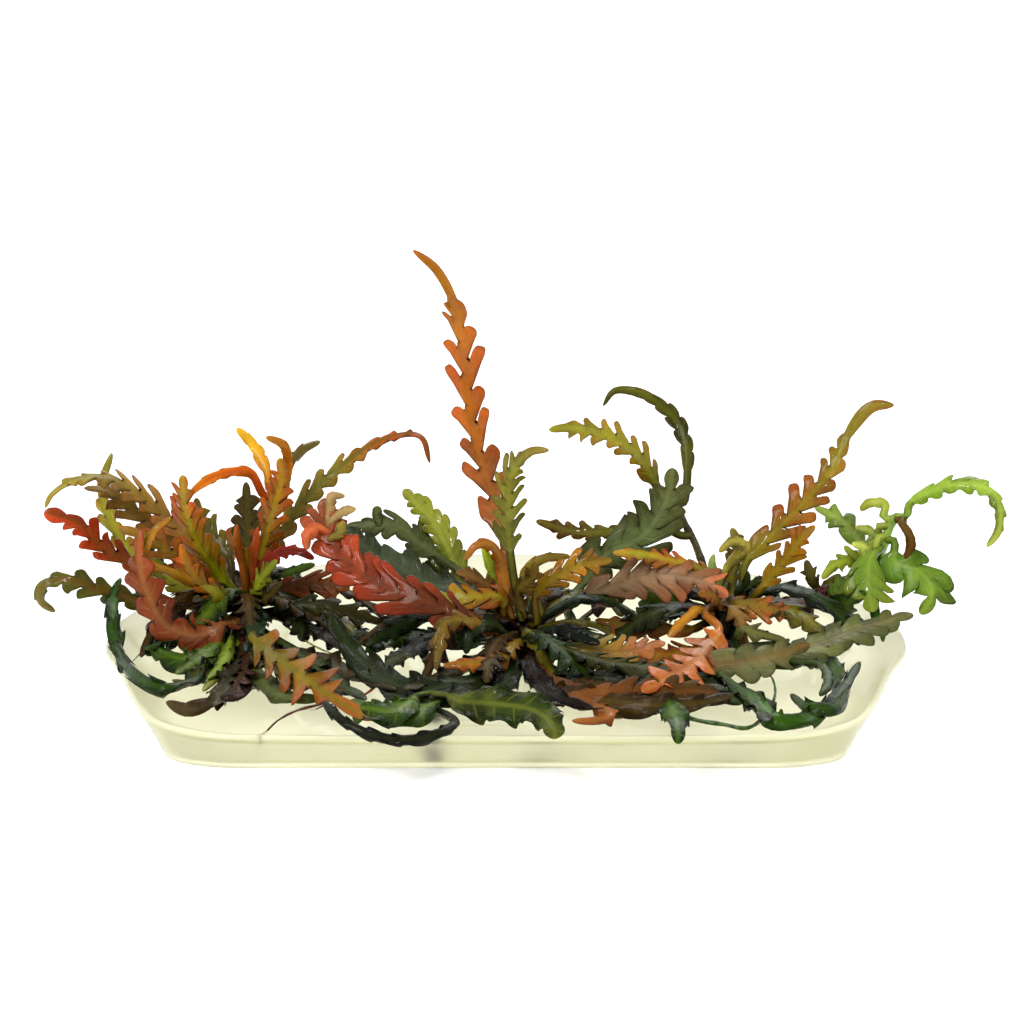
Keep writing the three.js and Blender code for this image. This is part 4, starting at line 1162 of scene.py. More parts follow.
# The left crown: a dense fan of rust, olive and coral leaves from one short stem, with its side
# shoot's yellow and orange young leaves above and old dark leaves draped over the gel below.
LEFT_CROWN = {
    "left_arching": leaf("umber", "a86848 c88868 d89c7c c49c60 acac58 b8b85c, b86850, 9c8c4c", [
        ("left", 0.99, 180), (-29.1, 20.8, 1.5), (-32.6, 23.8, 1), (-36.1, 26.8, 0), (-39.8, 28.9, -2),
        (-43.1, 28.7, -4), (-45.4, 27.3, -5.5), (-46.1, 26, -6.5)
    ], half=2.4, lobes=9, cut=0.74, stalk=0.12, taper=0.6, end=1.6, tip_face=LEFT_UP),
    "left_upright": leaf("olive", "6a4a26 a06a2c 9a8c34 a8a048 a3a04c 7e7c44, c87848, a8b048", [
        ("left", 0.62, 140), (-31.6, 17.8, 6.5), (-37.1, 20.8, 8.5), (-39.3, 24.3, 9.5), (-40.4, 28, 11),
        (-39.4, 31.5, 12)
    ], half=1.2, lobes=5, stalk=0.45, taper=0.4, end=1.6, tip_face=TO_FRONT),
    "left_red_tip": leaf("red", "5a3018 8c5024 9c5428 a04020 e03a28 ec5038, c04c2c, a0602c", [
        ("left", 0.8, 172), (-30.6, 18, 2), (-36.6, 20, 2.6), (-40.6, 22.3, 2.5), (-42.6, 24.3, 2),
        (-46.2, 25.6, 2)
    ], half=1.5, lobes=5, stalk=0.4, end=1.2, end_width=1.3, face=TO_SIGHT),
    "left_grey_curl": leaf("olive", "5a3616 8a5c1c 7c7424 6f7c26 7d8c5c 8ea08c, 5c6a18, 96681e", [
        ("left", 0.8, 195), (-30.6, 16.2, -3), (-36.1, 16.5, -4), (-40.6, 17.8, -5), (-43.6, 18.8, -5.5),
        (-46.1, 18.3, -6), (-46.5, 16.8, -6), (-45.1, 15.6, -5.5)
    ], half=1.6, lobes=7, stalk=0.25, taper=0.5, tip_face=LEFT_FRONT),
    "left_rust": leaf("copper", "7c4a40 a4705e a04428 a8401e b4542c c85c44, b4402c, b07c68", [
        ("left", 0.74, 240), (-28.1, 14.4, -7.5), (-31.1, 13.2, -11.5), (-34.1, 14.4, -12),
        (-35.6, 17, -11), (-36.6, 20.3, -10), (-36.6, 23.8, -9)
    ], half=2.1, lobes=7, cut=0.62, stalk=0.12, fill=1.15, tip_face=LEFT_FRONT),
    "left_green_rib": leaf("orange", "7a5a1e 8c8a22 b0702c c86a34 d4583c de6048, cc5434, a4b424", [
        ("left", 0.99, 255), (-29.6, 20.8, -2.5), (-31.1, 23.3, -3), (-32, 26, -3), (-32.3, 29.3, -3)
    ], half=2.1, lobes=7, cut=0.77, stalk=0.15, face=LEFT_FRONT),
    "left_orange": leaf("orange", "6a4a1c 9a7420 b8742a d0602a d85a2e, d8622c, b09a28", [
        ("left", 0.95, 215), (-29.2, 17.6, -4.6), (-31, 18.9, -5), (-32.1, 20.8, -5), (-32.5, 22.4, -5)
    ], half=1.4, lobes=5, stalk=0.25, face=TO_SIGHT),
    "left_olive": leaf("olive", "4c2c1c 6a5020 80782c 8c8c34 92803a, 9a7a34, 6a6a20", [
        ("left", 0.95, 135), (-27.6, 20.8, 3.8), (-29.4, 23.3, 6), (-30.5, 24.8, 7.5), (-31, 27, 9)
    ], half=1.5, lobes=5, stalk=0.3, face=TO_SIGHT),
    "left_tall_rust": leaf("copper", "4a2a1a 8a4a24 b8562c c8602e c8642e, d06038, b4a834", [
        ("left", 0.98, 310), (-24.6, 20.8, -1.5), (-23.8, 23.8, -2), (-23.1, 26.3, -2), (-22.4, 29.3, -1.5),
        (-22.6, 31, -1.5)
    ], half=1.9, lobes=7, cut=0.77, stalk=0.15, face=TO_FRONT),
    "left_dark": leaf("moss", "3c2a18 4a4620 5c5c28 6a5a2a 4a5a26, 6a4a2a, 7a6a2a", [
        ("left", 0.97, 90), (-25.9, 20, 5), (-25.8, 23.5, 9), (-25.9, 26.3, 12), (-26, 28.6, 14)
    ], half=1.6, lobes=5, face=TO_SIGHT),
    "left_slanting": leaf("copper", "4a3018 8a5424 a8602c a86a30 8c6c30, b05a30, 8a7a2c", [
        ("left", 0.8, 110), (-28.4, 20.8, 11), (-27.1, 22.3, 14), (-25.2, 24.5, 17), (-23.6, 27, 19)
    ], half=1.6, lobes=5, stalk=0.3, face=TO_SIGHT),
    "left_long_right": leaf(
        "umber", "4a4228 747048 98865c a49c60 b8aa5c d8703c e03828 c82c20, b07c50, 7c8048", [
        ("left", 0.92, 20), (-23.6, 20.8, 3.5), (-21.6, 24.8, 4.5), (-19.6, 27.3, 5), (-16.1, 30.3, 5),
        (-12.1, 32.8, 4), (-8.6, 33.1, 3), (-7.6, 30.5, 2)
    ], half=1.7, lobes=9, stalk=0.15, taper=0.7, end=1.8, tip_face=RIGHT_UP),
    "left_brown_right": leaf("umber", "3a2018 5c2c1c 8a3c22 a85a2c b06a3c, a04428, 7a5024", [
        ("left", 0.88, 350), (-22.6, 17.8, -2), (-19.6, 18.2, -3), (-15.6, 18, -4)
    ], half=2, lobes=5, cut=0.67),
    "left_moss_right": leaf("moss", "241a14 32381a 44521e 5a5c28 4a4a20, 5a4a22, 5a5a22", [
        ("left", 0.66, 350), (-21.6, 16, -5.5), (-18.6, 16.3, -6), (-15.1, 15.3, -7), (-11.6, 14.3, -8)
    ], half=1.6, lobes=5),
    "left_front_long": leaf("orange", "54441c 7c7c2c 88842c 9c7430 b06434 c06044, bc5838, 8c942c", [
        ("left", 0.8, 285), (-25.2, 13.6, -10), (-25.3, 12.9, -20), (-23.6, 11.6, -26), (-20.8, 9.5, -31),
        (-17.4, 7.1, -35.5), (-13.4, 4.8, -39)
    ], half=2.5, lobes=5, cut=0.75, stalk=0.5, fill=1.05, angle=40, end=1.6, face=TO_FRONT),
    "left_front_purple": leaf("umber", "7a2414 8a3420 5c3c38 4c3c3a 44403a, 8a3424, 6c4440", [
        ("left", 0.6, 262), (-25.9, 11.3, -14.5), (-26.6, 8.7, -25.5), (-28, 7, -29.5), (-32.1, 6.4, -30.5)
    ], half=1.9, lobes=7, stalk=0.35, face=MOSTLY_UP, tip_face=LEFT_UP),
    "left_ribbon": leaf("moss", "18140e 141a0c 1c240f 2c4414 44701c 34541a 1c2c12, 161c0c, 4a7a1c", [
        ("left", 0.6, 220), (-28.4, 11.2, -13.5), (-30.2, 10, -19.5), (-31.8, 8.6, -25.5),
        (-34.1, 8, -27.5), (-36.8, 9, -24), (-38.8, 12.3, -13.5), (-39, 15.4, -9.5)
    ], half=0.75, lobes=6, cut=0.12, stalk=0.1, taper=0, end=0.8, face=MOSTLY_UP, tip_face=LEFT_FRONT),
    "left_crumpled": leaf("moss", "1c2418 20382a 2c5040 1e3424 22301c, 182818, 3c6a50", [
        ("left", 0.84, 295), (-24.7, 15.4, -6.5), (-24.9, 14.2, -11), (-25.4, 12.9, -16.5), (-26, 11.6, -21)
    ], half=1.6, lobes=4, cut=0.4, stalk=0.15),
    "left_under": leaf("moss", "2a2818 38521a 4a7a1e 345a18 243c14, 1c2c10, 5c9a28", [
        ("left", 0.6, 172), (-30.2, 13.6, -3.5), (-33.5, 12.8, -8.5), (-36, 11.8, -13)
    ], half=1.6, lobes=4, cut=0.35, stalk=0.3, face=MOSTLY_UP),
    "left_runner": leaf("copper", "b8481c d85a18 f07818 f08c1c f0a020, f0901c, d8601c", [
        ("left_branch", 0.9, 180), (-25.6, 29.5, 1), (-28.4, 29.4, -0.5), (-30.8, 28.1, -2),
        (-31.6, 27.3, -2.5)
    ], half=0.6, lobes=3, face=TO_SIGHT),
    "left_yellow_tip": leaf("orange", "d0701c e89018 eab014 e8bc10, e8a818, e8b830", [
        ("left_branch", 0.98, 150), (-23.8, 29.3, 3), (-25.1, 32, 5), (-26.9, 34, 7)
    ], half=0.8, lobes=3, face=TO_SIGHT),
    "left_orange_curl": leaf("orange", "c8681c d08024 d89c2c, d88c2c, c87820", [
        ("left_branch", 0.94, 300), (-21.8, 30.3, 1), (-22.3, 32.3, 0.5), (-24, 33.1, 0)
    ], half=0.5, lobes=2, face=TO_SIGHT),
    "left_tan_tip": leaf("olive", "6c5c30 8c7c44 98885c, a08458, 7c7444", [
        ("left_branch", 0.86, 30), (-21.8, 30, 3.5), (-20.6, 31.6, 5.5), (-18.6, 32.7, 8)
    ], half=0.6, lobes=2, face=TO_SIGHT),
    "left_yellow_curl": leaf("orange", "7c5c20 b07c2c c89038 c08440 b87038, c87830, b89030", [
        ("left", 0.9, 230), (-33, 19.4, -6.5), (-36.3, 20.8, -8.5), (-35.8, 22.3, -9), (-35.1, 23.8, -9),
        (-34.1, 24.6, -8.5), (-33.5, 25.1, -8)
    ], half=0.65, lobes=3, stalk=0.3),
    "left_olive_low": leaf("olive", "5c4c20 7c7c28 8c9034 80842c, 8c7430, 9ca038", [
        ("left", 0.85, 160), (-30.1, 17, 1), (-32.6, 18.3, 1), (-34.1, 19.3, 1.5), (-35.4, 21.3, 2)
    ], half=1.4, lobes=5, stalk=0.25),
    "left_green_behind": leaf("moss", "242c14 2c441c 24481c 1c3814, 1c3010, 3c6028", [
        ("left", 0.75, 120), (-33, 18.6, 8), (-35.6, 21.3, 10.5), (-36.3, 23.3, 12), (-36.4, 24.8, 12.5)
    ], half=1.3, lobes=3, cut=0.57, stalk=0.5),
    "left_coral_lobe": leaf("red", "6c3020 c05038 d86048, d8604c, b05838", [
        ("left", 0.98, 300), (-25.3, 20.8, -2.5), (-25, 22.6, -3.5), (-24.8, 24.1, -4)
    ], half=0.7, lobes=1, cut=0.3, stalk=0.35),
    "left_coral_tooth": leaf("red", "7c4424 c05830 d05c3c, d05c3c, b07838", [
        ("left", 0.98, 280), (-26.4, 20.6, -2.5), (-26.9, 22.6, -4), (-26.9, 24.4, -4.5)
    ], half=0.6, lobes=1, cut=0.3, stalk=0.4),
    "left_red_right": leaf("red", "4c2018 8c2c20 b03028 a02c24, c04038, 903028", [
        ("left", 0.95, 335), (-24.4, 20.2, -4), (-22.3, 21.6, -5), (-20.6, 21.6, -6), (-19.2, 20.9, -6.5)
    ], half=0.95, lobes=5, cut=0.77, stalk=0.3),
    "left_lime_right": leaf("lime", "4c4c1c 7c8c2c 8c9c34 7c8c30, 8c8430, a4b440", [
        ("left", 0.9, 325), (-25, 17.9, -4.6), (-24.2, 19.2, -5.6), (-22.9, 20.8, -6.4)
    ], half=1.1, lobes=5, cut=0.67, stalk=0.25),
    "left_thin_right": leaf("moss", "2c2c18 4c6c28 5c8434, 4c6428, 6c9440", [
        ("left", 0.93, 40), (-24.1, 18.8, 3), (-21.6, 19.6, 4), (-19.1, 20.4, 5)
    ], half=0.55, lobes=3, cut=0.62, stalk=0.3),
    "left_front_oval": leaf("slate", "5c2018 3c3c28 5c6c50 64745c 5c6c54, 4c5844, 7c8c70", [
        ("left", 0.6, 285), (-25.2, 10.4, -19), (-24.3, 8.8, -25.5), (-22.4, 7.1, -31.4),
        (-20.4, 6.9, -32.2), (-18.2, 7, -32)
    ], half=1.3, lobes=4, cut=0.15, stalk=0.55),
    "left_low_olive": leaf("moss", "28301a 4c6c20 648c28 4c6c20, 2c4014, 7ca434", [
        ("left", 0.6, 235), (-29.2, 12, -12.5), (-31.3, 10.4, -17), (-33, 9.4, -21)
    ], half=1.3, lobes=3, cut=0.25, stalk=0.35),
    "left_low_lime": leaf("moss", "28301a 5c7c20 84a834 5c8424, 3c5818, 98b848", [
        ("left", 0.6, 250), (-27.8, 11.6, -15), (-28.6, 10, -20.5), (-29.8, 8.9, -24.5)
    ], half=1, lobes=3, cut=0.25, stalk=0.4),
    "left_crown_bud": leaf("olive", "5c4c20 8c8428 98942c a0882c, a08c30, a0a434", [
        ("left", 0.99, 20), (-25.2, 18.6, -1), (-25.6, 20.4, -2), (-26.2, 22, -3)
    ], half=0.9, lobes=3, cut=0.62, stalk=0.1),
    "left_inner_olive": leaf("olive", "5c4c1c 7c7420 8c8828 948c2c, 9c8c30, a0a434", [
        ("left", 0.93, 230), (-27.9, 16.6, -5), (-28.8, 17.4, -6), (-30.3, 18.2, -6.5)
    ], half=1.1, lobes=5, cut=0.62, stalk=0.15),
    "left_inner_brown": leaf("umber", "2c2016 4c3420 5c4c2c 6c5830, 5c4428, 6c6438", [
        ("left", 0.9, 300), (-24.8, 16.6, -5), (-23.6, 17.2, -7), (-22.4, 18.6, -8)
    ], half=1.2, lobes=3, cut=0.62, stalk=0.15),
    "left_broad_low": leaf("moss", "1a2410 2c4a18 4c7c24 3c6420 24401a, 101a0c, 6c9c38", [
        ("left", 0.6, 240), (-28.4, 11.8, -10), (-30.1, 11.1, -13.5), (-32.1, 10.7, -15.5),
        (-34.1, 11.3, -13.5), (-35.6, 12.5, -9)
    ], half=1.9, lobes=4, cut=0.2, face=MOSTLY_UP),
    "left_olive_blade": leaf("moss", "2a2c14 4a5420 5c6428 485020, 1c200c, 7c8440", [
        ("left", 0.6, 250), (-27.8, 10.8, -14.5), (-29.9, 9.2, -21), (-31.6, 8.4, -24.5), (-33.4, 8.8, -23)
    ], half=1.3, lobes=3, cut=0.3, face=MOSTLY_UP),
    "left_lime_blade": leaf("lime", "4c6420 7c9030 8ca03c 6c7c30, 5c6c24, a8b85c", [
        ("left", 0.62, 265), (-27.2, 11.3, -12.5), (-28.3, 9.9, -18.5), (-29.3, 8.7, -23.5),
        (-30.3, 7.7, -27.5)
    ], half=1.2, lobes=2, cut=0.25),
    "left_slate_low": leaf("slate", "20281f 303a30 3c4438 444438 5c4034, 7c3c24, 6c6c64", [
        ("left", 0.6, 275), (-26.6, 10.2, -18), (-28.2, 7.9, -27.5), (-30, 6.3, -33.5), (-31.8, 5.8, -35),
        (-34, 6.6, -33)
    ], half=2, lobes=4, cut=0.45, face=TO_FRONT),
    "left_purple_low": leaf("umber", "5c2420 4c3438 4a3840 3c3034, 3c2428, 6c4c50", [
        ("left", 0.58, 285), (-25.9, 10.6, -16), (-25.4, 8.9, -23), (-26, 7.7, -27.5), (-27.4, 7, -31),
        (-28.9, 7.1, -30.5)
    ], half=1.8, lobes=4, cut=0.5),
    "left_dark_wide": leaf("umber", "1c1410 2a1e14 34301a 2a3018 243018, 141008, 4c4420", [
        ("left", 0.7, 330), (-24.2, 15.5, -3.5), (-21.4, 14.6, -3.5), (-18.6, 13.4, -8), (-16.1, 12, -13.5),
        (-14.2, 10.4, -19)
    ], half=1.6, lobes=5, cut=0.4, face=MOSTLY_UP),
    "left_olive_flat": leaf("umber", "2c2014 3c2c18 5c4424 5c4a24 3c3418, 2c2410, 6c5c30", [
        ("left", 0.6, 305), (-23.8, 12.8, -8), (-20.6, 11.3, -13.5), (-17.1, 10, -19.5), (-13.8, 8.7, -25),
        (-11, 7.8, -28.5)
    ], half=1.8, lobes=4, cut=0.2, face=MOSTLY_UP),
    "left_purple_mid": leaf("umber", "2c1c18 3c2424 5c3430 4a2e2c, 2c1a1a, 6c4440", [
        ("left", 0.64, 295), (-24.4, 12.3, -10), (-22.4, 10.8, -16), (-20, 9.6, -21), (-17.2, 8.8, -24.5)
    ], half=1.5, lobes=4, cut=0.4),
    "left_glossy_oval": leaf("moss", "1c2c14 346018 4c8028 2c5018, 14240c, 7cac48", [
        (-6.6, 6.4, -31.5), (-7.8, 6, -35.5), (-10.6, 5.1, -38.5), (-13.4, 5.5, -37.5), (-15.6, 6.8, -34)
    ], half=2.2, lobes=3, cut=0.12, face=MOSTLY_UP),
    "left_upper_mauve": leaf("umber", "98644c c88468 d09070 b08c60 8c784c, b06850, a08c5c", [
        ("left", 0.97, 165), (-31, 20.8, 1), (-34.1, 23.3, 1.5), (-37.1, 25.6, 1), (-39.8, 27.6, 0.5),
        (-42.2, 28, 0)
    ], half=2.1, lobes=6, cut=0.7, face=LEFT_UP),
    "left_upper_rust": leaf("copper", "70402c b86840 c87848 b07848 9c7448, d0643c, a8944c", [
        ("left", 0.97, 190), (-30.6, 19.3, -3), (-33.6, 21.6, -4.5), (-36.4, 23.3, -5.5), (-38.8, 24, -6)
    ], half=1.8, lobes=5, cut=0.7, face=LEFT_FRONT),
    "left_dark_base": leaf("umber", "181210 241a14 34281a 2c3018, 14100c, 4c4028", [
        ("left", 0.5, 300), (-24.8, 11.6, -13), (-21.6, 9.6, -20.5), (-18.6, 8, -27.5), (-16, 6.4, -33.5)
    ], half=1.5, lobes=4, cut=0.2, face=MOSTLY_UP),
    "left_dark_back_low": leaf("moss", "141a0e 1e2c14 2c4818 1c3010, 0e120a, 4c7424", [
        ("left", 0.8, 200), (-29.1, 14.6, -4), (-31.6, 14, -4.5), (-34.1, 12.8, -7.5), (-35.8, 11.2, -13)
    ], half=1.6, lobes=4, cut=0.2, face=MOSTLY_UP),
    "left_dark_sweep": leaf("slate", "1c201c 2c342c 3c4838 343c30, 181c18, 5c6c54", [
        ("left", 0.75, 340), (-22.4, 15.8, -1), (-18.8, 15, -2.5), (-15.4, 13.6, -7.5), (-12.2, 11.8, -14)
    ], half=1.7, lobes=5, cut=0.4, face=MOSTLY_UP),
    "left_fill_one": leaf("umber", "2c2418 44401c 54501f 4a441f, 241c10, 7c6c34", [
        ("left", 0.55, 300), (-24.4, 11.8, -12), (-20.6, 8.8, -24), (-17.6, 7.8, -28), (-15, 7.4, -29.5)
    ], half=1.9, lobes=4, cut=0.2, face=MOSTLY_UP),
    "left_fill_two": leaf("moss", "161c10 2c3c16 40581c 304418, 10160c, 5c7c30", [
        ("left", 0.6, 315), (-23.6, 13.2, -7), (-20, 10.8, -15.5), (-16.8, 8.4, -26), (-14, 6.8, -32.5)
    ], half=1.7, lobes=4, cut=0.3, face=MOSTLY_UP),
    "left_rim_wide": leaf("moss", "1c2410 2c4c18 447c20 1c2c12, 10180c, 5c9c2c", [
        (-38.4, 9.8, -17), (-38.9, 12.3, -13), (-39.3, 14.8, -9.5), (-39.4, 17, -6), (-38.5, 19, -3)
    ], half=1, lobes=3, cut=0.1, face=RIGHT_FRONT),
}
grow(LEFT_CROWN, first_seed=100)


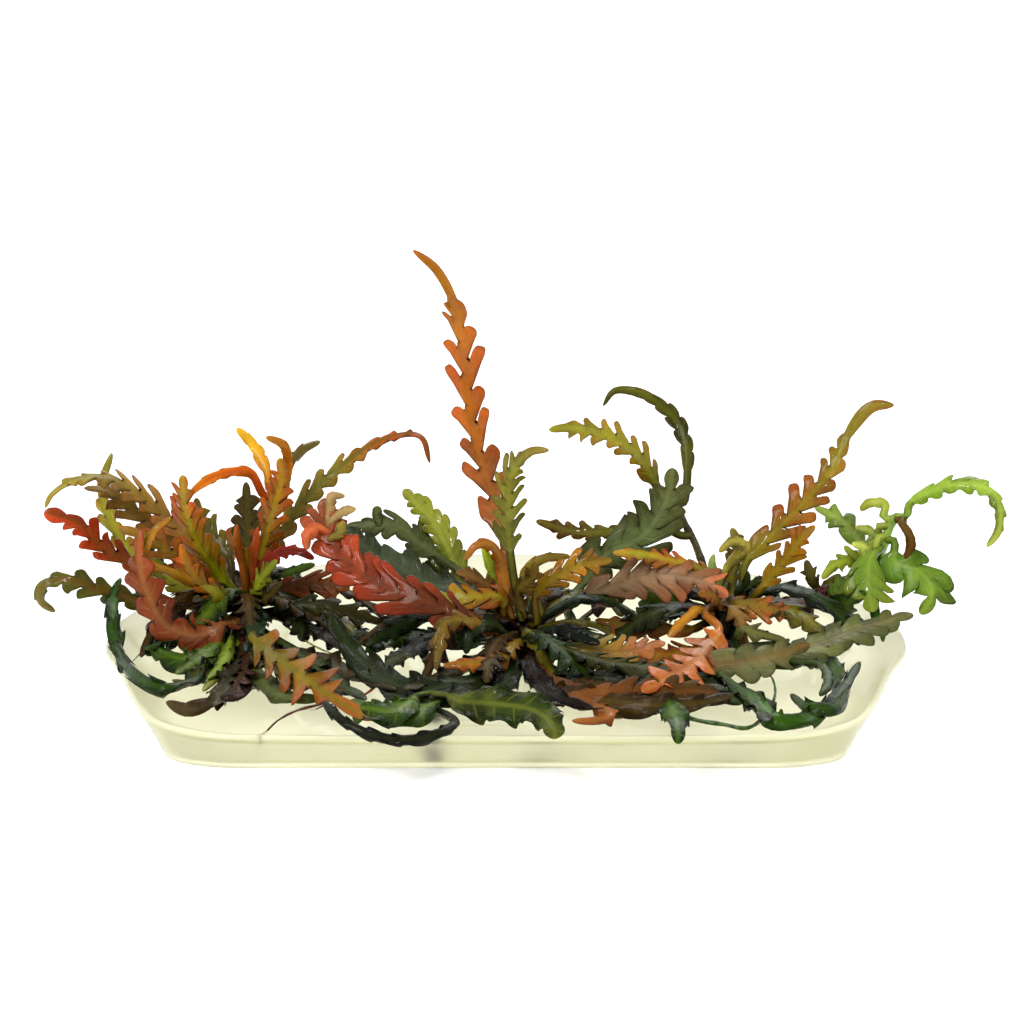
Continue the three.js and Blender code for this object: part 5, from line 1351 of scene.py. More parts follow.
# The centre crown: the tallest orange leaf and the broad coral, mauve, slate and grey-green leaves
# around it, with dark leaves sweeping down over the gel.
CENTRE_CROWN = {
    "tallest": leaf(
        "orange", "5a3424 8a4a34 b07860 b06a58 c0702c d06a1e d0841e b89438 c88c3c, d8582c, c87a2c", [
        ("centre", 0.97, 95), (-0.1, 21.8, -8.5), (-0.6, 24.8, -7), (-1.4, 27.8, -5.5), (-2.6, 31.3, -4),
        (-3.4, 34.8, -3), (-4.1, 40.8, -2), (-5.1, 46.3, -2), (-6.9, 49.8, -3), (-9.3, 51.8, -4.5)
    ], half=2.5, lobes=8, cut=0.85, stalk=0.18, taper=0.4, fill=0.74, angle=28, end=2.2, face=TO_FRONT,
        tip_face=LEFT_FRONT),
    "centre_front": leaf("olive", "3a2418 5c4a30 6c7850 8c9064 a0a054 a8a048 c8744c, 7c8460, a0a460", [
        ("centre", 0.97, 270), (0.8, 18.8, -13.5), (0.4, 21.8, -14.5), (0.2, 25.8, -15.5),
        (0.6, 29.6, -16.5), (2.4, 31.6, -17.5), (4.3, 31.8, -18.5)
    ], half=1.8, lobes=7, stalk=0.35, taper=0.4, fill=0.85, end=1.8, face=TO_FRONT),
    "centre_round_lobed": leaf("olive", "4a2c1a 8a5c24 a87a2c c08a34 b0843a, c86a2c, a09030", [
        ("centre", 0.9, 320), (2.9, 17, -13), (4.6, 18.8, -13.5), (7.6, 20.3, -13.5), (10.6, 20.8, -13.5)
    ], half=1.6, lobes=5, stalk=0.25, face=TO_SIGHT),
    "centre_left_short": leaf("copper", "5a1c14 a03a1c b8702c a8a034 9aa838, c8502c, a8a838", [
        ("centre", 0.9, 205), (-0.6, 17, -14), (-3.1, 17, -15), (-6.1, 16.8, -14.5), (-8, 16.2, -14)
    ], half=1.75, lobes=5),
    "centre_coral": leaf("red", "2c1820 5c3020 7c4428 a04430 c44c40 d05e54 b88478, c8443a, 944c34", [
        ("centre", 0.78, 215), (-1.6, 14.6, -17), (-4.6, 15.2, -19), (-8.6, 16.8, -18.5),
        (-12.6, 18.3, -16.5), (-16.1, 20.8, -13.5), (-17.8, 23.6, -11), (-18.2, 27, -9.5)
    ], half=2.9, lobes=10, cut=0.7, stalk=0.22, fill=1.2, angle=25, tip_face=TO_FRONT),
    "centre_slate": leaf("slate", "2c2c2c 48525c 586874 60727c 66787e 5c6c6c, 465258, 708288", [
        ("centre", 0.97, 165), (-3, 17.6, -9.5), (-7.6, 18.3, -8), (-10.6, 20, -7), (-13.1, 21.3, -6),
        (-16.1, 24, -4.5)
    ], half=2.4, lobes=5, cut=0.32, stalk=0.25),
    "centre_crenate": leaf("lime", "4a5a20 6c8430 90a448 9cac54 8c9c44, 98a04c, b0bc68", [
        ("centre", 0.97, 130), (-3, 17.5, -7), (-4.8, 20.3, -5), (-5.6, 21.8, -4), (-6.6, 23.8, -2.5),
        (-8.1, 25.8, -1), (-10.3, 27.8, 0.5)
    ], half=1.6, lobes=8, cut=0.42, stalk=0.3, face=LEFT_FRONT),
    "centre_pale_right": leaf("olive", "3a301c 6c6c34 94984c a49c54 b88c50 e07060 e87868, 8c9450, 9c7848", [
        ("centre", 0.64, 352), (5.4, 12.4, -17), (8.4, 11.6, -19.5), (11.9, 11.5, -20), (15.9, 12.6, -18)
    ], half=2.5, lobes=6, cut=0.55, stalk=0.12, fill=1.1, tip_face=MOSTLY_UP),
    "centre_low_right": leaf("slate", "2c1a16 4c3428 8c5430 a8643c 7c5434 3c4c38, 6c5848, 9c6038", [
        ("centre", 0.61, 300), (3.6, 9.8, -21.5), (8.4, 7, -31.5), (14.4, 7.2, -31.5), (18.4, 7.6, -30.5),
        (21.4, 7.4, -31)
    ], half=2.3, lobes=7, cut=0.4, stalk=0.35),
    "centre_mauve": leaf("umber", "503c40 886c70 a08488 a88890 b07468 d05438, b46460, a88c94", [
        ("centre", 0.84, 355), (3.9, 14.8, -10), (7.4, 16.8, -8.5), (11.4, 18.3, -8), (14.4, 19.1, -8),
        (19.4, 18.6, -9.5), (22.2, 17.1, -11)
    ], half=2.6, lobes=7, cut=0.67, stalk=0.3, fill=1.1, tip_face=RIGHT_FRONT),
    "centre_big_grey": leaf("slate", "2c3430 44524c 64786a 6f8474 6c7c68 7c7c5c, 6c6454, 8ca090", [
        ("centre", 0.84, 50), (4.6, 16, -5.5), (6.9, 17.5, -4.6), (9.9, 21.3, -4), (13.9, 23.5, -4.5),
        (16.2, 27.3, -5), (16.7, 30, -5.5)
    ], half=2.9, lobes=6, cut=0.6, stalk=0.38, fill=1.2, face=TO_FRONT),
    "centre_loop": leaf("olive", "4a3018 7c6024 9c7c30 b8642c c8502c, c06a2c, a89038", [
        ("centre", 0.75, 268), (0.8, 12.3, -20), (-0.6, 10.8, -23.5), (-3.6, 10.4, -24.5), (-6.3, 10.2, -25)
    ], half=1.1, lobes=7),
    "centre_sweeping": leaf("slate", "1c1a16 262e24 303e30 3a4c3a 425640 3a4a34, 1e2620, 4c6448", [
        ("centre", 0.61, 235), (-0.6, 9.3, -22.5), (-5.6, 8.2, -27.5), (-8.6, 7.8, -28.5),
        (-11.6, 8.6, -26.5), (-14.1, 10.3, -22), (-16.1, 12.6, -18), (-17.8, 15.6, -15.5)
    ], half=2, lobes=6, cut=0.32, face=MOSTLY_UP, tip_face=UP_FRONT),
    "centre_brown_right": leaf("umber", "201c12 30341a 44501f 4c5824 3c4420, 3c3c1c, 6c6c30", [
        ("centre", 0.74, 318), (4.8, 12, -19), (10.4, 10.4, -24.5), (15.4, 9.8, -26), (19.4, 9.4, -26.5)
    ], half=1.7, lobes=7, cut=0.62, stalk=0.4, face=MOSTLY_UP),
    "centre_bright_toothed": leaf("lime", "6c8c1c 9cc020 b0cc30, a0c430, b8d040", [
        ("centre", 0.87, 180), (-0.8, 17.8, -11), (-1.6, 20.3, -11), (-2.3, 22.3, -11)
    ], half=0.8, lobes=3, face=TO_SIGHT),
    "centre_thin_toothed": leaf("olive", "8c7c30 a0903c a87434, b08840, a09840", [
        ("centre", 0.94, 0), (1.9, 19.4, -11), (3.4, 20.8, -11), (6.4, 21.2, -11)
    ], half=0.6, lobes=3, face=TO_SIGHT),
    "centre_coral_curl": leaf("red", "d86450 e06450 e05c48, e07060, e08070", [
        (-17.6, 23.4, -11), (-18.9, 24, -11.5), (-19.9, 23.1, -12.5), (-19.9, 21.8, -12.9)
    ], half=0.95, lobes=2, cut=0.2),
    "centre_tan_lobe": leaf("umber", "b07c70 b08c80 a88c7c, b09488, b8a094", [
        (-17.8, 24, -10.6), (-17.7, 25.8, -10), (-17.3, 27.1, -9.6), (-16.1, 27.2, -9.6)
    ], half=0.75, lobes=2, cut=0.3),
    "centre_cream_lobe": leaf("umber", "b08c80 b89c90 b49884, b8a094, c0aca0", [
        (-17.7, 24.4, -10.4), (-16.3, 25.6, -10.6), (-15, 25.9, -11)
    ], half=0.7, lobes=2, cut=0.3),
    "centre_yellow_lobe": leaf("olive", "a0705c a08c54 949048, a09854, a89c64", [
        (-17.6, 22.8, -11.6), (-16.7, 23.5, -12.2), (-16.2, 24.7, -12.4)
    ], half=0.8, lobes=2, cut=0.3),
    "centre_grey_upper": leaf("slate", "2c2c26 4c584c 64745f 6c7c68 5c6c50, 5c604c, 7c8c74", [
        ("centre", 0.97, 150), (-4.6, 19.6, -6), (-8.6, 22.3, -4.5), (-10.6, 24, -3.6), (-13.1, 24.3, -3),
        (-16, 24.2, -2.6)
    ], half=1.5, lobes=5, cut=0.5, stalk=0.5),
    "centre_grey_sprig": leaf("slate", "5c6c54 74806c, 6c6c58, 7c8c74", [
        (-12.6, 24.2, -3.1), (-12.9, 25.3, -3.1), (-12.8, 26.2, -3.2)
    ], half=0.4, lobes=2, cut=0.62),
    "centre_dark_crenate": leaf("moss", "2c2c18 4c5c24 5c6c2c 4c5c28, 4c4c24, 7c8c3c", [
        ("centre", 0.97, 120), (-3, 18, -5.5), (-6.2, 19.2, -3), (-7.5, 21.2, -2), (-8.3, 23.3, -1),
        (-8.6, 24.9, 0)
    ], half=1.2, lobes=5, cut=0.62, stalk=0.35),
    "centre_arching_orange": leaf("orange", "5c3018 b8682c d0803c c8704c, d87848, c89048", [
        ("centre", 0.98, 240), (-0.4, 20.2, -11.5), (-1.5, 22.2, -12), (-3, 22.2, -12.6), (-4.1, 20.8, -13)
    ], half=0.9, lobes=3, cut=0.62),
    "front_rust_low": leaf("copper", "3c2018 7c3c24 a8502c b8603c, a8502c, b88050", [
        ("centre", 0.61, 285), (5, 8.5, -24), (8.5, 6.4, -31.5), (10.4, 5.2, -35.6), (9, 4.7, -37),
        (6.6, 4.7, -37.6)
    ], half=1.1, lobes=3, cut=0.57, stalk=0.6),
    "centre_hanging_rust": leaf("copper", "4c2418 8c4c28 8c6c30 6c6028, a0502c, 9c8840", [
        ("centre", 0.72, 235), (-3.4, 14.6, -20), (-6.2, 14.4, -22), (-6.7, 12, -23.4), (-7, 9.8, -24.6)
    ], half=1.2, lobes=5, cut=0.62, stalk=0.25),
    "centre_dark_oval": leaf("moss", "1c1c14 243420 2c4028 243820, 1c2c18, 4c6848", [
        ("centre", 0.72, 250), (-1.6, 14.4, -18), (-3.6, 13.6, -20.6), (-4, 11.4, -21.8)
    ], half=1.2, lobes=3, cut=0.15, stalk=0.3),
    "centre_dark_left": leaf("moss", "1c1812 24281a 34502a 2c4020, 1c2814, 4c7034", [
        ("centre", 0.78, 200), (-5, 15, -13), (-9, 14.8, -13), (-11.2, 13.8, -13.6), (-14, 12.2, -15)
    ], half=1.2, lobes=3, cut=0.57, stalk=0.55),
    "centre_inner_umber": leaf("umber", "2c1c16 5c3c28 7c5c34 8c6c3c, 7c5034, 8c7c44", [
        ("centre", 0.97, 280), (1.3, 17.6, -14), (2.6, 19, -15), (3, 20.6, -15.6)
    ], half=1.3, lobes=5, cut=0.62, stalk=0.15),
    "centre_inner_left": leaf("umber", "2c1c16 6c3c2c 8c5c44 9c6c50, 9c5c44, 9c7c5c", [
        ("centre", 0.97, 210), (-1.4, 17.6, -13.6), (-3.4, 19.2, -14.4), (-5, 19.6, -14.8)
    ], half=1.2, lobes=5, cut=0.62),
    "centre_green_mid": leaf("moss", "18200e 24401a 3c6424 2c4c1c, 101a0a, 5c8c38", [
        ("centre", 0.7, 205), (-3.6, 12.8, -9), (-7.1, 12.8, -8.5), (-10.6, 12.8, -8), (-14, 11.6, -13)
    ], half=1.6, lobes=4, cut=0.25),
    "centre_low_umber": leaf("umber", "2a201c 3a3028 5c4430 4c3c2c, 2c1c14, 6c543c", [
        ("centre", 0.62, 300), (3.9, 10, -19), (6.9, 8.8, -24), (10.6, 7.8, -28), (14.6, 7.5, -29)
    ], half=2, lobes=5, cut=0.4, face=MOSTLY_UP),
    "centre_low_olive": leaf("olive", "2c2c18 3c4420 5c6430 4c5428, 3c3418, 8c9450", [
        ("centre", 0.64, 315), (4.6, 11.3, -13), (8.6, 10.6, -16.5), (12.6, 10, -19), (16.8, 9.6, -21)
    ], half=2.1, lobes=5, cut=0.45, face=MOSTLY_UP),
    "centre_low_teal": leaf("slate", "1c281c 2c4028 3c5834 2c4028, 1c2818, 5c7850", [
        ("centre", 0.58, 320), (5.2, 9.6, -21), (9.6, 8.9, -24), (14.2, 8.3, -26.5), (18.8, 8, -28),
        (22.6, 7.8, -29)
    ], half=1.9, lobes=5, cut=0.35, face=MOSTLY_UP),
    "centre_low_brown": leaf("umber", "2c1c10 4a3018 6c4c24 5c4c28 4a3c24, 3c2414, 7c6434", [
        ("centre", 0.56, 305), (4.6, 7.8, -27.5), (9.4, 6.7, -32), (14.4, 6.2, -34), (19, 6.4, -33.5),
        (23.2, 7.3, -30)
    ], half=1.6, lobes=5, cut=0.3),
    "centre_hanging_green": leaf("moss", "1c3414 3c6c20 4c7c28 1c3414, 0e1c0a, 6c9c3c", [
        (16, 6.8, -32.5), (16.8, 5.6, -37), (17.2, 4, -41), (17.2, 2.4, -43.4)
    ], half=1.5, lobes=3, cut=0.06, stalk=0.05, face=TO_FRONT),
    "centre_low_left": leaf("moss", "14140c 1e2c14 2c4420 24381a, 0c120a, 3c5c2c", [
        ("centre", 0.6, 240), (-0.6, 9.6, -20.5), (-3.6, 7.8, -28), (-6.6, 6.8, -31.5), (-9.8, 6.6, -32),
        (-12.2, 7.4, -29)
    ], half=1.7, lobes=5, cut=0.35, face=MOSTLY_UP),
    "centre_dark_back": leaf("slate", "1e2420 34443a 4c5e50 445448, 1e2824, 6c7c68", [
        ("centre", 0.8, 160), (-1.1, 16, 2), (-4.1, 17.6, 5), (-7.1, 18.6, 7), (-10.1, 18.6, 8)
    ], half=1.7, lobes=4, cut=0.45, face=MOSTLY_UP),
    "centre_dark_petiole": leaf("umber", "140e0c 1c1410 241a14 2c2018, 120c0a, 4c3424", [
        ("centre", 0.5, 285), (2.3, 11.1, -20), (3.1, 9, -25.5), (5, 7.1, -32), (8.6, 6, -35.5)
    ], half=1.3, lobes=4, cut=0.1),
    "centre_dark_fall": leaf("moss", "141410 1c2414 243818 1c2c14, 10140c, 3c5c24", [
        ("centre", 0.55, 262), (0.8, 11.3, -19.5), (0.4, 9.4, -24), (-0.4, 8, -28.5), (-1.8, 7, -32)
    ], half=1.5, lobes=4, cut=0.15),
    "centre_step_left": leaf("umber", "2c1c14 3c2c1c 4c4424 3c3c20, 241810, 6c6434", [
        ("centre", 0.66, 230), (-1.2, 11.6, -16), (-4.2, 10, -21), (-7, 8.8, -26), (-10.2, 7.8, -30)
    ], half=1.7, lobes=5, cut=0.3, face=MOSTLY_UP),
    "centre_far_left": leaf("slate", "202420 343c34 445048 3c4438, 1c201c, 6c7464", [
        ("centre", 0.7, 195), (-2.6, 13.6, -9), (-6, 13.2, -9.5), (-9.4, 11.8, -13.5), (-12.6, 9.6, -21)
    ], half=1.9, lobes=5, cut=0.35, face=MOSTLY_UP),
}
grow(CENTRE_CROWN, first_seed=200)


# The small shoot near the front edge, whose green, olive and thin dark leaves hang over the rim.
# They grow from one short stem that leans out of the gel.
FRONT_SHOOT = {
    "front_green": leaf("moss", "2c2414 284416 305018 345a1c 2e4c1a 4c5828, 3c5820, 8c9c50", [
        ("front", 0.95, 340), (-4.6, 6.6, -33.5), (-0.9, 6.3, -35.5), (2.6, 5.7, -37.8), (4.6, 4.3, -40.6),
        (4.9, 2.9, -42.4)
    ], half=2.3, lobes=6, cut=0.14, stalk=0.04),
    "front_olive": leaf("olive", "2c2c14 3c5c1c 4c7c28 4c7424 3c5c20, 24401a, 7ca848", [
        ("front", 0.95, 215), (-9.4, 6.6, -35.5), (-11.4, 5.6, -39.5), (-14.6, 6, -41)
    ], half=1.9, lobes=4, cut=0.12, face=MOSTLY_UP, tip_face=UP_FRONT),
    "front_thin": leaf("moss", "1c1c12 202818 1e2a16 182212 1a2414 2c3420, 1c1c12, 44502c", [
        ("front", 0.75, 285), (-5.2, 4.4, -40), (-7.6, 3.1, -42.6), (-12.1, 2.9, -43.4),
        (-16.3, 4.7, -41.8), (-18.3, 6.7, -38)
    ], half=0.7, lobes=7, cut=0.14, end=0.8),
}
grow(FRONT_SHOOT, first_seed=300)


# The right crown: the long lobed copper leaf that leans out, the broad grey-green one below it,
# the side shoot's olive leaves that reach left, and the dark loop over the gel.
RIGHT_CROWN = {
    "right_tall": leaf(
        "copper", "3c3c1c 6c7c28 a07828 b8602c c06c2c a08438 94943c 98944c 8c6c4c, c0582c, a8a038", [
        ("right", 0.97, 20), (23.9, 20.3, -4.5), (26.9, 23.6, -3), (29.9, 26.6, -1), (32.6, 29.8, 1),
        (34.4, 33.6, 2.5), (36.6, 36.1, 3), (38.8, 36.3, 3)
    ], half=2.3, lobes=7, cut=0.76, stalk=0.15, taper=0.45, fill=0.8, angle=32, end=2.6, end_width=1,
        face=TO_FRONT, tip_face=LEFT_FRONT),
    "right_short": leaf("orange", "5a4420 9c7c2c b8843a c88c34 c0702c, c8682c, b0a040", [
        ("right", 0.92, 330), (25.4, 17.8, -8), (27.9, 20.8, -9.5), (29.9, 23.3, -11), (30.9, 24.2, -11.5)
    ], half=1.4, lobes=5, stalk=0.3, face=TO_SIGHT),
    "right_broad": leaf("slate", "3c3830 5c6c58 74887c 809480 788c78 808868, 5c6854, 8c8068", [
        ("right", 0.7, 320), (23.6, 12.6, -11), (25.4, 11.4, -14.5), (27.8, 11.3, -16), (31.4, 12.3, -14),
        (35.4, 13.8, -11), (40.7, 15.4, -8.5)
    ], half=2.75, lobes=8, cut=0.5, fill=1.2, face=MOSTLY_UP),
    "right_toothed": leaf("orange", "4a3c20 7c6c2c b86c3c d06850, c8583c, a0903c", [
        ("right", 0.8, 290), (22.9, 16.4, -9.5), (26.4, 15.8, -10.5), (28.9, 14.9, -10.5)
    ], half=1.6, lobes=5),
    "right_front_orange": leaf("orange", "6a4018 ac6426 c86c2c d07840 cc6c40 cc6834, d46430, cc8444", [
        ("right", 0.97, 250), (19.9, 15.5, -11.5), (21.3, 14, -15.5), (20.2, 12.2, -20.5),
        (18.4, 10.2, -25.5), (16, 8.9, -29.5), (13.6, 7.6, -32.5)
    ], half=2.7, lobes=6, cut=0.76, stalk=0.36, fill=0.95, angle=52, slat=0.2, edge_amount=0.8,
        face=TO_FRONT, tip_face=UP_FRONT),
    "right_left_green": leaf("moss", "2c3418 4c6c24 5c8c30 648c38 50742c, 40581c, 8cac54", [
        ("right", 0.88, 180), (18.4, 16.3, -5.5), (15.9, 16.3, -5.5), (13.2, 15, -6)
    ], half=2.6, lobes=4, cut=0.2, stalk=0.25),
    "right_left_rust": leaf("copper", "3c2418 7c4424 a05a2c a8682c 8c5428, b05a2c, 8c7c30", [
        ("right", 0.75, 200), (18.4, 13.8, -9.5), (15.4, 13.8, -10), (11.4, 14.3, -10.5), (8.9, 14.8, -10.5)
    ], half=1.4, lobes=5, stalk=0.25),
    "right_loop": leaf("moss", "241c14 1c2410 24340f 3c5c18 5c9c24 3c6c18 1c2c10 1c2810, 141c0c, 4c8420", [
        ("right", 0.6, 255), (20.4, 11.2, -14.5), (22.2, 8.7, -26.5), (25.3, 6.4, -34.5), (27, 4.8, -38),
        (29.6, 4.7, -37.5), (32, 6, -33), (33.9, 8.2, -27.5), (35.4, 10.6, -21.5)
    ], half=1, lobes=7, cut=0.07, stalk=0.3, end=0.8, face=MOSTLY_UP, tip_face=UP_FRONT),
    "branch_reaching": leaf("olive", "5c4c24 8c8034 a89c40 b0a444 98983c 8ca034, c8742c, a8ac50", [
        ("right_branch", 0.98, 180), (15.2, 28, -2.5), (13.1, 31.3, -4), (9.9, 33.3, -5.5), (6.4, 34, -7),
        (4.3, 33.8, -8)
    ], half=1.6, lobes=7, stalk=0.15, fill=0.8, end=1.2, tip_face=LEFT_FRONT),
    "branch_red_tip": leaf("olive", "4c4424 7c7c34 848438 7c5428 8c2c1c, 8c6c34, 90943c", [
        ("right_branch", 0.6, 190), (14.4, 24.8, -1.5), (10.4, 23.6, -1), (6.4, 23.7, -1), (3, 24.7, -1.5)
    ], half=1.1, lobes=5, stalk=0.4, fill=0.8, face=TO_SIGHT),
    "branch_hooked": leaf("moss", "4c3c20 5c5c24 4c5420 505c24 6c7428 5c6424, 8c6c30, 7c8430", [
        ("right_branch", 0.98, 40), (18, 27.5, 0), (18, 32.3, 3), (16.6, 35.3, 5), (13.9, 37.3, 6),
        (10.9, 37.7, 6), (9.7, 36.2, 5.5)
    ], half=1, lobes=6, cut=0.4, taper=0.4, end=2.2, end_width=0.8, face=TO_FRONT, tip_face=LEFT_FRONT),
    "node_lobe": leaf("olive", "4c5c2c 7c7c3c 9c6c34, 8c6434, 7c7c44", [
        ("rhizome", 0.6, 90), (30.6, 18.8, -1), (30, 20.8, -0.5)
    ], half=0.9, lobes=2, stalk=0.1, face=TO_SIGHT),
    "right_pale_hook": leaf("olive", "5c5428 98943c b0a85c a8a058, a89850, c0b870", [
        ("right", 0.98, 110), (22.4, 20.4, -4), (23.9, 22.2, -4), (22.6, 22.6, -4.6), (21.3, 21.6, -5)
    ], half=0.75, lobes=3, cut=0.57, stalk=0.3),
    "right_mint_lobe": leaf("lime", "3c3c20 7ca070 98b88c, 88a878, a8c8a0", [
        ("right", 0.98, 250), (20.9, 19, -8), (20.6, 20.4, -8.6), (20.8, 21.4, -9)
    ], half=0.9, lobes=1, cut=0.25, stalk=0.25),
    "right_dark_lobe": leaf("moss", "1c1c12 2c3c1c 344c20, 243018, 4c6c30", [
        ("right", 0.96, 320), (23.2, 17.6, -7.6), (24, 18.6, -8.6), (24.2, 19.7, -9)
    ], half=0.8, lobes=1, cut=0.25, stalk=0.3),
    "right_dark_lobe_two": leaf("moss", "1c1c12 34401c 44502c, 343018, 5c6c34", [
        ("right", 0.96, 350), (24, 17.8, -6), (25.2, 18.6, -7), (26.4, 18.9, -7.4)
    ], half=0.8, lobes=2, cut=0.3, stalk=0.3),
    "node_small_lobe": leaf("olive", "3c3c20 6c6c2c 7c7430, 7c5c2c, 8c8c44", [
        ("rhizome", 0.85, 100), (31.8, 17.8, -0.5), (32.6, 18.8, -1), (33.4, 19.4, -1.4)
    ], half=0.7, lobes=1, cut=0.3, stalk=0.3),
    "right_tan_hanging": leaf("umber", "3c2418 8c6444 a07854 b03c2c, 9c5c44, b09070", [
        ("right", 0.85, 300), (22.6, 16, -10.5), (23.4, 14.8, -12.5), (23.7, 13.2, -13.6), (24.2, 12, -14)
    ], half=1.2, lobes=3, cut=0.57),
    "right_olive_grey": leaf("slate", "3c3420 6c6c4c 747c5c 6c7050, 5c5838, 8c9470", [
        ("right", 0.8, 310), (24, 13.8, -14.4), (26, 13.2, -15.6), (28, 12.8, -16)
    ], half=1.1, lobes=3, cut=0.57, stalk=0.3),
    "right_orange_arc": leaf("orange", "4c2818 b0602c d08434 c8782c, d08434, d0a040", [
        ("right", 0.9, 230), (20.4, 15.2, -10.5), (19.2, 15.8, -12), (17.9, 14.8, -13.6), (16.3, 13.1, -15)
    ], half=0.65, lobes=5, cut=0.57, stalk=0.25),
    "right_black_green": leaf("moss", "14140e 182010 1c2814 182412, 141a0e, 2c3c20", [
        ("centre", 0.72, 330), (5.2, 13.9, -17.4), (7.4, 13.1, -19), (9.4, 12.4, -20.4)
    ], half=1.1, lobes=3, cut=0.3, stalk=0.3),
    "right_lobed_orange": leaf("orange", "5c4c20 a8a03c c8642c d0502c a8a83c c8603c, d0582c, b8b848", [
        ("right", 0.97, 175), (19.6, 19.6, -7), (15.9, 20.8, -7.6), (13.4, 21.3, -8), (10.7, 21.5, -8.6)
    ], half=1.15, lobes=7),
    "right_small_curl": leaf("moss", "241c12 242c16 34481f 2c4018, 1c2410, 5c8434", [
        ("right", 0.65, 290), (23.6, 11.4, -15.4), (28.6, 10.6, -19.5), (31.6, 10.2, -23.6),
        (32.2, 8.4, -27.6), (31.4, 7.2, -30.4)
    ], half=0.75, lobes=5, cut=0.3, stalk=0.55),
    "right_inner_olive": leaf("olive", "3c3018 6c6428 8c8034 9c8c3c, a0702c, 9c983c", [
        ("right", 0.96, 60), (22.6, 19.6, -2), (23.2, 22, -1), (22.6, 24, 0)
    ], half=1.3, lobes=5, cut=0.67),
    "right_inner_rust": leaf("copper", "3c2018 7c4424 9c5828 a8642c, b0562c, 9c7c34", [
        ("right", 0.95, 270), (21.4, 16.2, -10), (20.6, 17.2, -12), (19.2, 17.4, -13)
    ], half=1.2, lobes=5, cut=0.67),
    "right_dark_low": leaf("slate", "1c2418 2c3c28 3c5438 2c4428, 141c14, 5c7c50", [
        ("right", 0.6, 250), (21, 10.4, -16.5), (20.4, 8.7, -23.5), (21.4, 7.3, -29), (23.6, 6.4, -32.5)
    ], half=1.9, lobes=4, cut=0.35),
    "right_grey_lobes": leaf("slate", "5c5040 747c70 869694 8c9c98 808474 6c5448, 6c7868, a08068", [
        (19, 10, -24), (21.4, 10.3, -22.5), (24.6, 10.7, -20.5), (27.6, 11.4, -19), (30.4, 12.4, -18)
    ], half=2.3, lobes=4, cut=0.5, stalk=0.06, fill=1.1, angle=45),
    "right_low_fill": leaf("moss", "1c200e 2c3c18 446024 344c20, 14180c, 6c8c3c", [
        ("right", 0.58, 225), (19.6, 10.8, -14.5), (16.6, 9.6, -20), (13.9, 8.8, -24.5), (11.4, 8.6, -25.5)
    ], half=2, lobes=5, cut=0.45, face=MOSTLY_UP),
    "right_low_rust": leaf("copper", "3c2014 7c3c1c a8501c 9c5424, 9c3c1c, b08c40", [
        ("right", 0.62, 215), (19.4, 11.8, -10.5), (17, 11.3, -12.5), (14.6, 11.2, -13.5),
        (12.2, 11.8, -11.5)
    ], half=1.6, lobes=5, cut=0.55),
    "right_oval": leaf("moss", "141c0c 243c14 3c6420 1c2c10, 0e140a, 4c7424", [
        (23, 7.8, -27), (24.2, 7.3, -29.5), (25.4, 6.2, -34), (26, 4.6, -39.5)
    ], half=1.7, lobes=3, cut=0.08),
    "right_ribbon_tip": leaf("moss", "1c3414 2c4c1c 3c6424 1c2c14, 101c0c, 4c7c28", [
        (34, 7.8, -27.5), (33.6, 6.7, -32), (32, 5.9, -35.5), (30, 6.2, -34.5), (28.5, 7.4, -29.5)
    ], half=1, lobes=2, cut=0.05),
    "right_ribbon_top": leaf("moss", "1c2c10 34581c 5c8c28 24401a, 101a0c, 4c7c28", [
        (31.4, 12.8, -8), (32.4, 11.2, -13.5), (32.9, 9.6, -20.5), (32.3, 7.8, -28)
    ], half=1.1, lobes=3, cut=0.05, face=TO_FRONT),
    "right_round_mint": leaf("lime", "3c6c34 5c8c4c 7cac64 6c9c54, 3c6c34, a8c880", [
        ("rhizome", 0.95, 200), (33.2, 17, -3), (34, 18.4, -4), (35.4, 19.5, -4.5)
    ], half=1.6, lobes=2, cut=0.3, face=TO_FRONT),
    "right_round_moss": leaf("moss", "2c4c20 3c6c2c 4c7c34 34582a, 24401c, 6c9c4c", [
        ("rhizome", 0.95, 280), (33.6, 16.2, -4), (34.6, 16.8, -5.5), (36, 17.6, -6)
    ], half=1.5, lobes=2, cut=0.3, face=TO_FRONT),
    "right_dark_under": leaf("moss", "141810 1e2c16 2c4420 243818, 0e140c, 4c7030", [
        ("right", 0.55, 235), (19.8, 10, -18), (17.8, 8.4, -25.5), (15.4, 7.2, -31), (12.6, 6.8, -32.5)
    ], half=1.7, lobes=5, cut=0.3),
    "right_dark_right": leaf("moss", "182010 24381a 345424 24401a, 10180c, 5c8434", [
        ("right", 0.6, 320), (23.6, 12.2, -11), (26.4, 12, -12), (29, 11.2, -14.5), (31.2, 10, -19)
    ], half=1.6, lobes=4, cut=0.3, face=MOSTLY_UP),
}
grow(RIGHT_CROWN, first_seed=400)


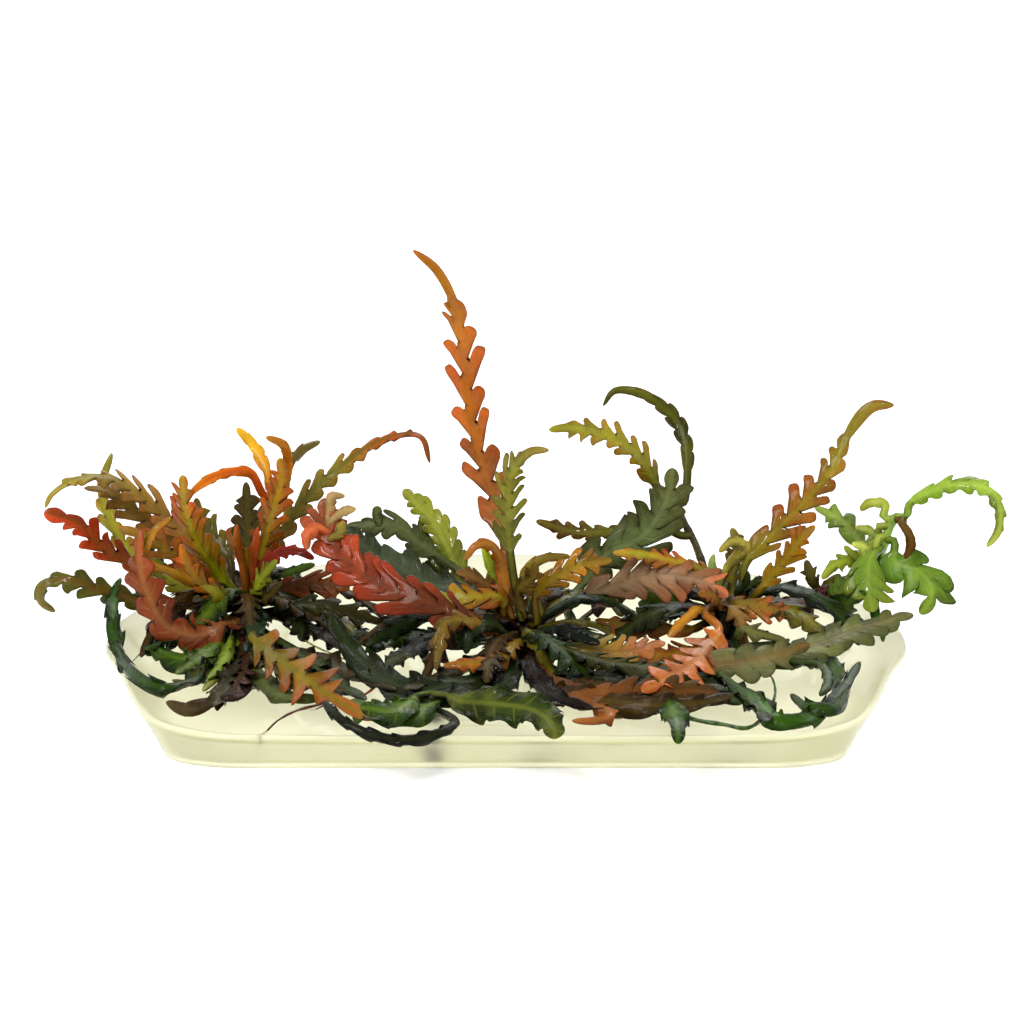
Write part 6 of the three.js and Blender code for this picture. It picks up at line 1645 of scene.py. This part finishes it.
# The green plantlet at the end of the runner: glossy lime leaves that arch out to the right,
# soft and bright, on a thin green stem.
GREEN_PLANTLET = {
    "green_arching": leaf("lime", "649434 88bc48 9ccc5c 9cc854 9cac50 a8602c, 80b444, b4d87c", [
        ("green", 0.95, 350), (40.4, 26.4, -1.5), (41.9, 27.3, -2.5), (44.4, 28.2, -4), (47.4, 28.1, -5.5),
        (49.1, 26.5, -7), (49.2, 23.8, -8), (48.1, 22.1, -8.5)
    ], half=1.3, lobes=7, cut=0.45, stalk=0.12, taper=0.5, end=1.2, tip_face=RIGHT_FRONT),
    "green_upper_left": leaf("lime", "5c8c34 7ca858 90b870 88ac5c, 6c9c44, b0cc88", [
        ("green", 0.55, 160), (35.9, 22.3, 2), (33.7, 24.6, 4.5), (30.9, 26.1, 7)
    ], half=1.25, lobes=3, stalk=0.3, face=TO_SIGHT),
    "green_broad": leaf("lime", "64943c 74a84c 7ca844 889c3c, 8c9440, 9cc064", [
        ("green", 0.35, 250), (36.4, 21, -3.5), (36.2, 18.8, -5), (36.4, 16.8, -6), (36.7, 15.6, -6.5)
    ], half=2.8, lobes=3, cut=0.5, stalk=0.15, fill=1.3, face=TO_SIGHT),
    "green_drooping": leaf("moss", "608c34 68a040 7cb04c 88b450 98ac48, 508830, 98c068", [
        ("green", 0.5, 320), (38.9, 20.5, -3), (40.9, 19.8, -4), (42.4, 18.3, -5), (42.5, 16.8, -5.5),
        (41.4, 15.4, -5.5)
    ], half=2.6, lobes=3, cut=0.62, stalk=0.1, fill=1.3, slat=0.15, face=TO_SIGHT),
    "green_pale_tip": leaf("lime", "8cac44 a8bc5c 9c9448, a0b058, b8cc78", [
        ("green", 0.9, 150), (37.9, 26.3, 0.5), (36.4, 26.5, 1), (35.4, 25.8, 1.5)
    ], half=0.6, lobes=2, face=TO_SIGHT),
    "green_low_left": leaf("lime", "7c9c34 9cb448 98a040, 8ca040, b0c860", [
        ("green", 0.3, 200), (34.6, 20.9, -1.5), (32.8, 20.2, -2.5), (31.6, 18.9, -3.5)
    ], half=0.9, lobes=3, stalk=0.1, face=TO_SIGHT),
    "green_small_left": leaf("lime", "7c9434 9cb858 a8c070, 98b050, c0d088", [
        ("green", 0.75, 170), (37.4, 22.4, 0.8), (36.3, 23.7, 1.4), (34.9, 24.1, 2)
    ], half=0.7, lobes=3, cut=0.62),
    "green_thin_curl": leaf("umber", "7c6c28 7c5428 6c3c20, 7c4c28, 8c6c34", [
        ("green", 0.9, 330), (39.6, 24.4, -2.4), (40.2, 23.6, -3.6), (40.5, 22.3, -4.2), (39.9, 20.9, -4.6)
    ], half=0.35, lobes=2, cut=0.3, stalk=0.3),
    "green_low_tip": leaf("moss", "4c6c24 3c7430 346c28, 2c5c24, 5c9444", [
        ("green", 0.1, 260), (36.9, 15.6, -5), (37.6, 13.9, -6.4), (37.7, 12.6, -7)
    ], half=0.5, lobes=2, cut=0.3, stalk=0.3),
    "green_cluster": leaf("lime", "8ca844 a8c068 b0c878, a0b860, c8d890", [
        ("green", 0.55, 220), (36.6, 21.2, -2), (35.8, 22, -3), (34.6, 22.4, -3.8)
    ], half=0.9, lobes=3, cut=0.62),
    "green_cluster_two": leaf("lime", "7c9c38 9cb858 a4bc60, 94ac4c, bcd080", [
        ("green", 0.45, 190), (36, 20.4, -1.4), (34.8, 21.2, -2.2), (33.8, 22.2, -2.6)
    ], half=0.8, lobes=2, cut=0.62),
}
grow(GREEN_PLANTLET, first_seed=500)
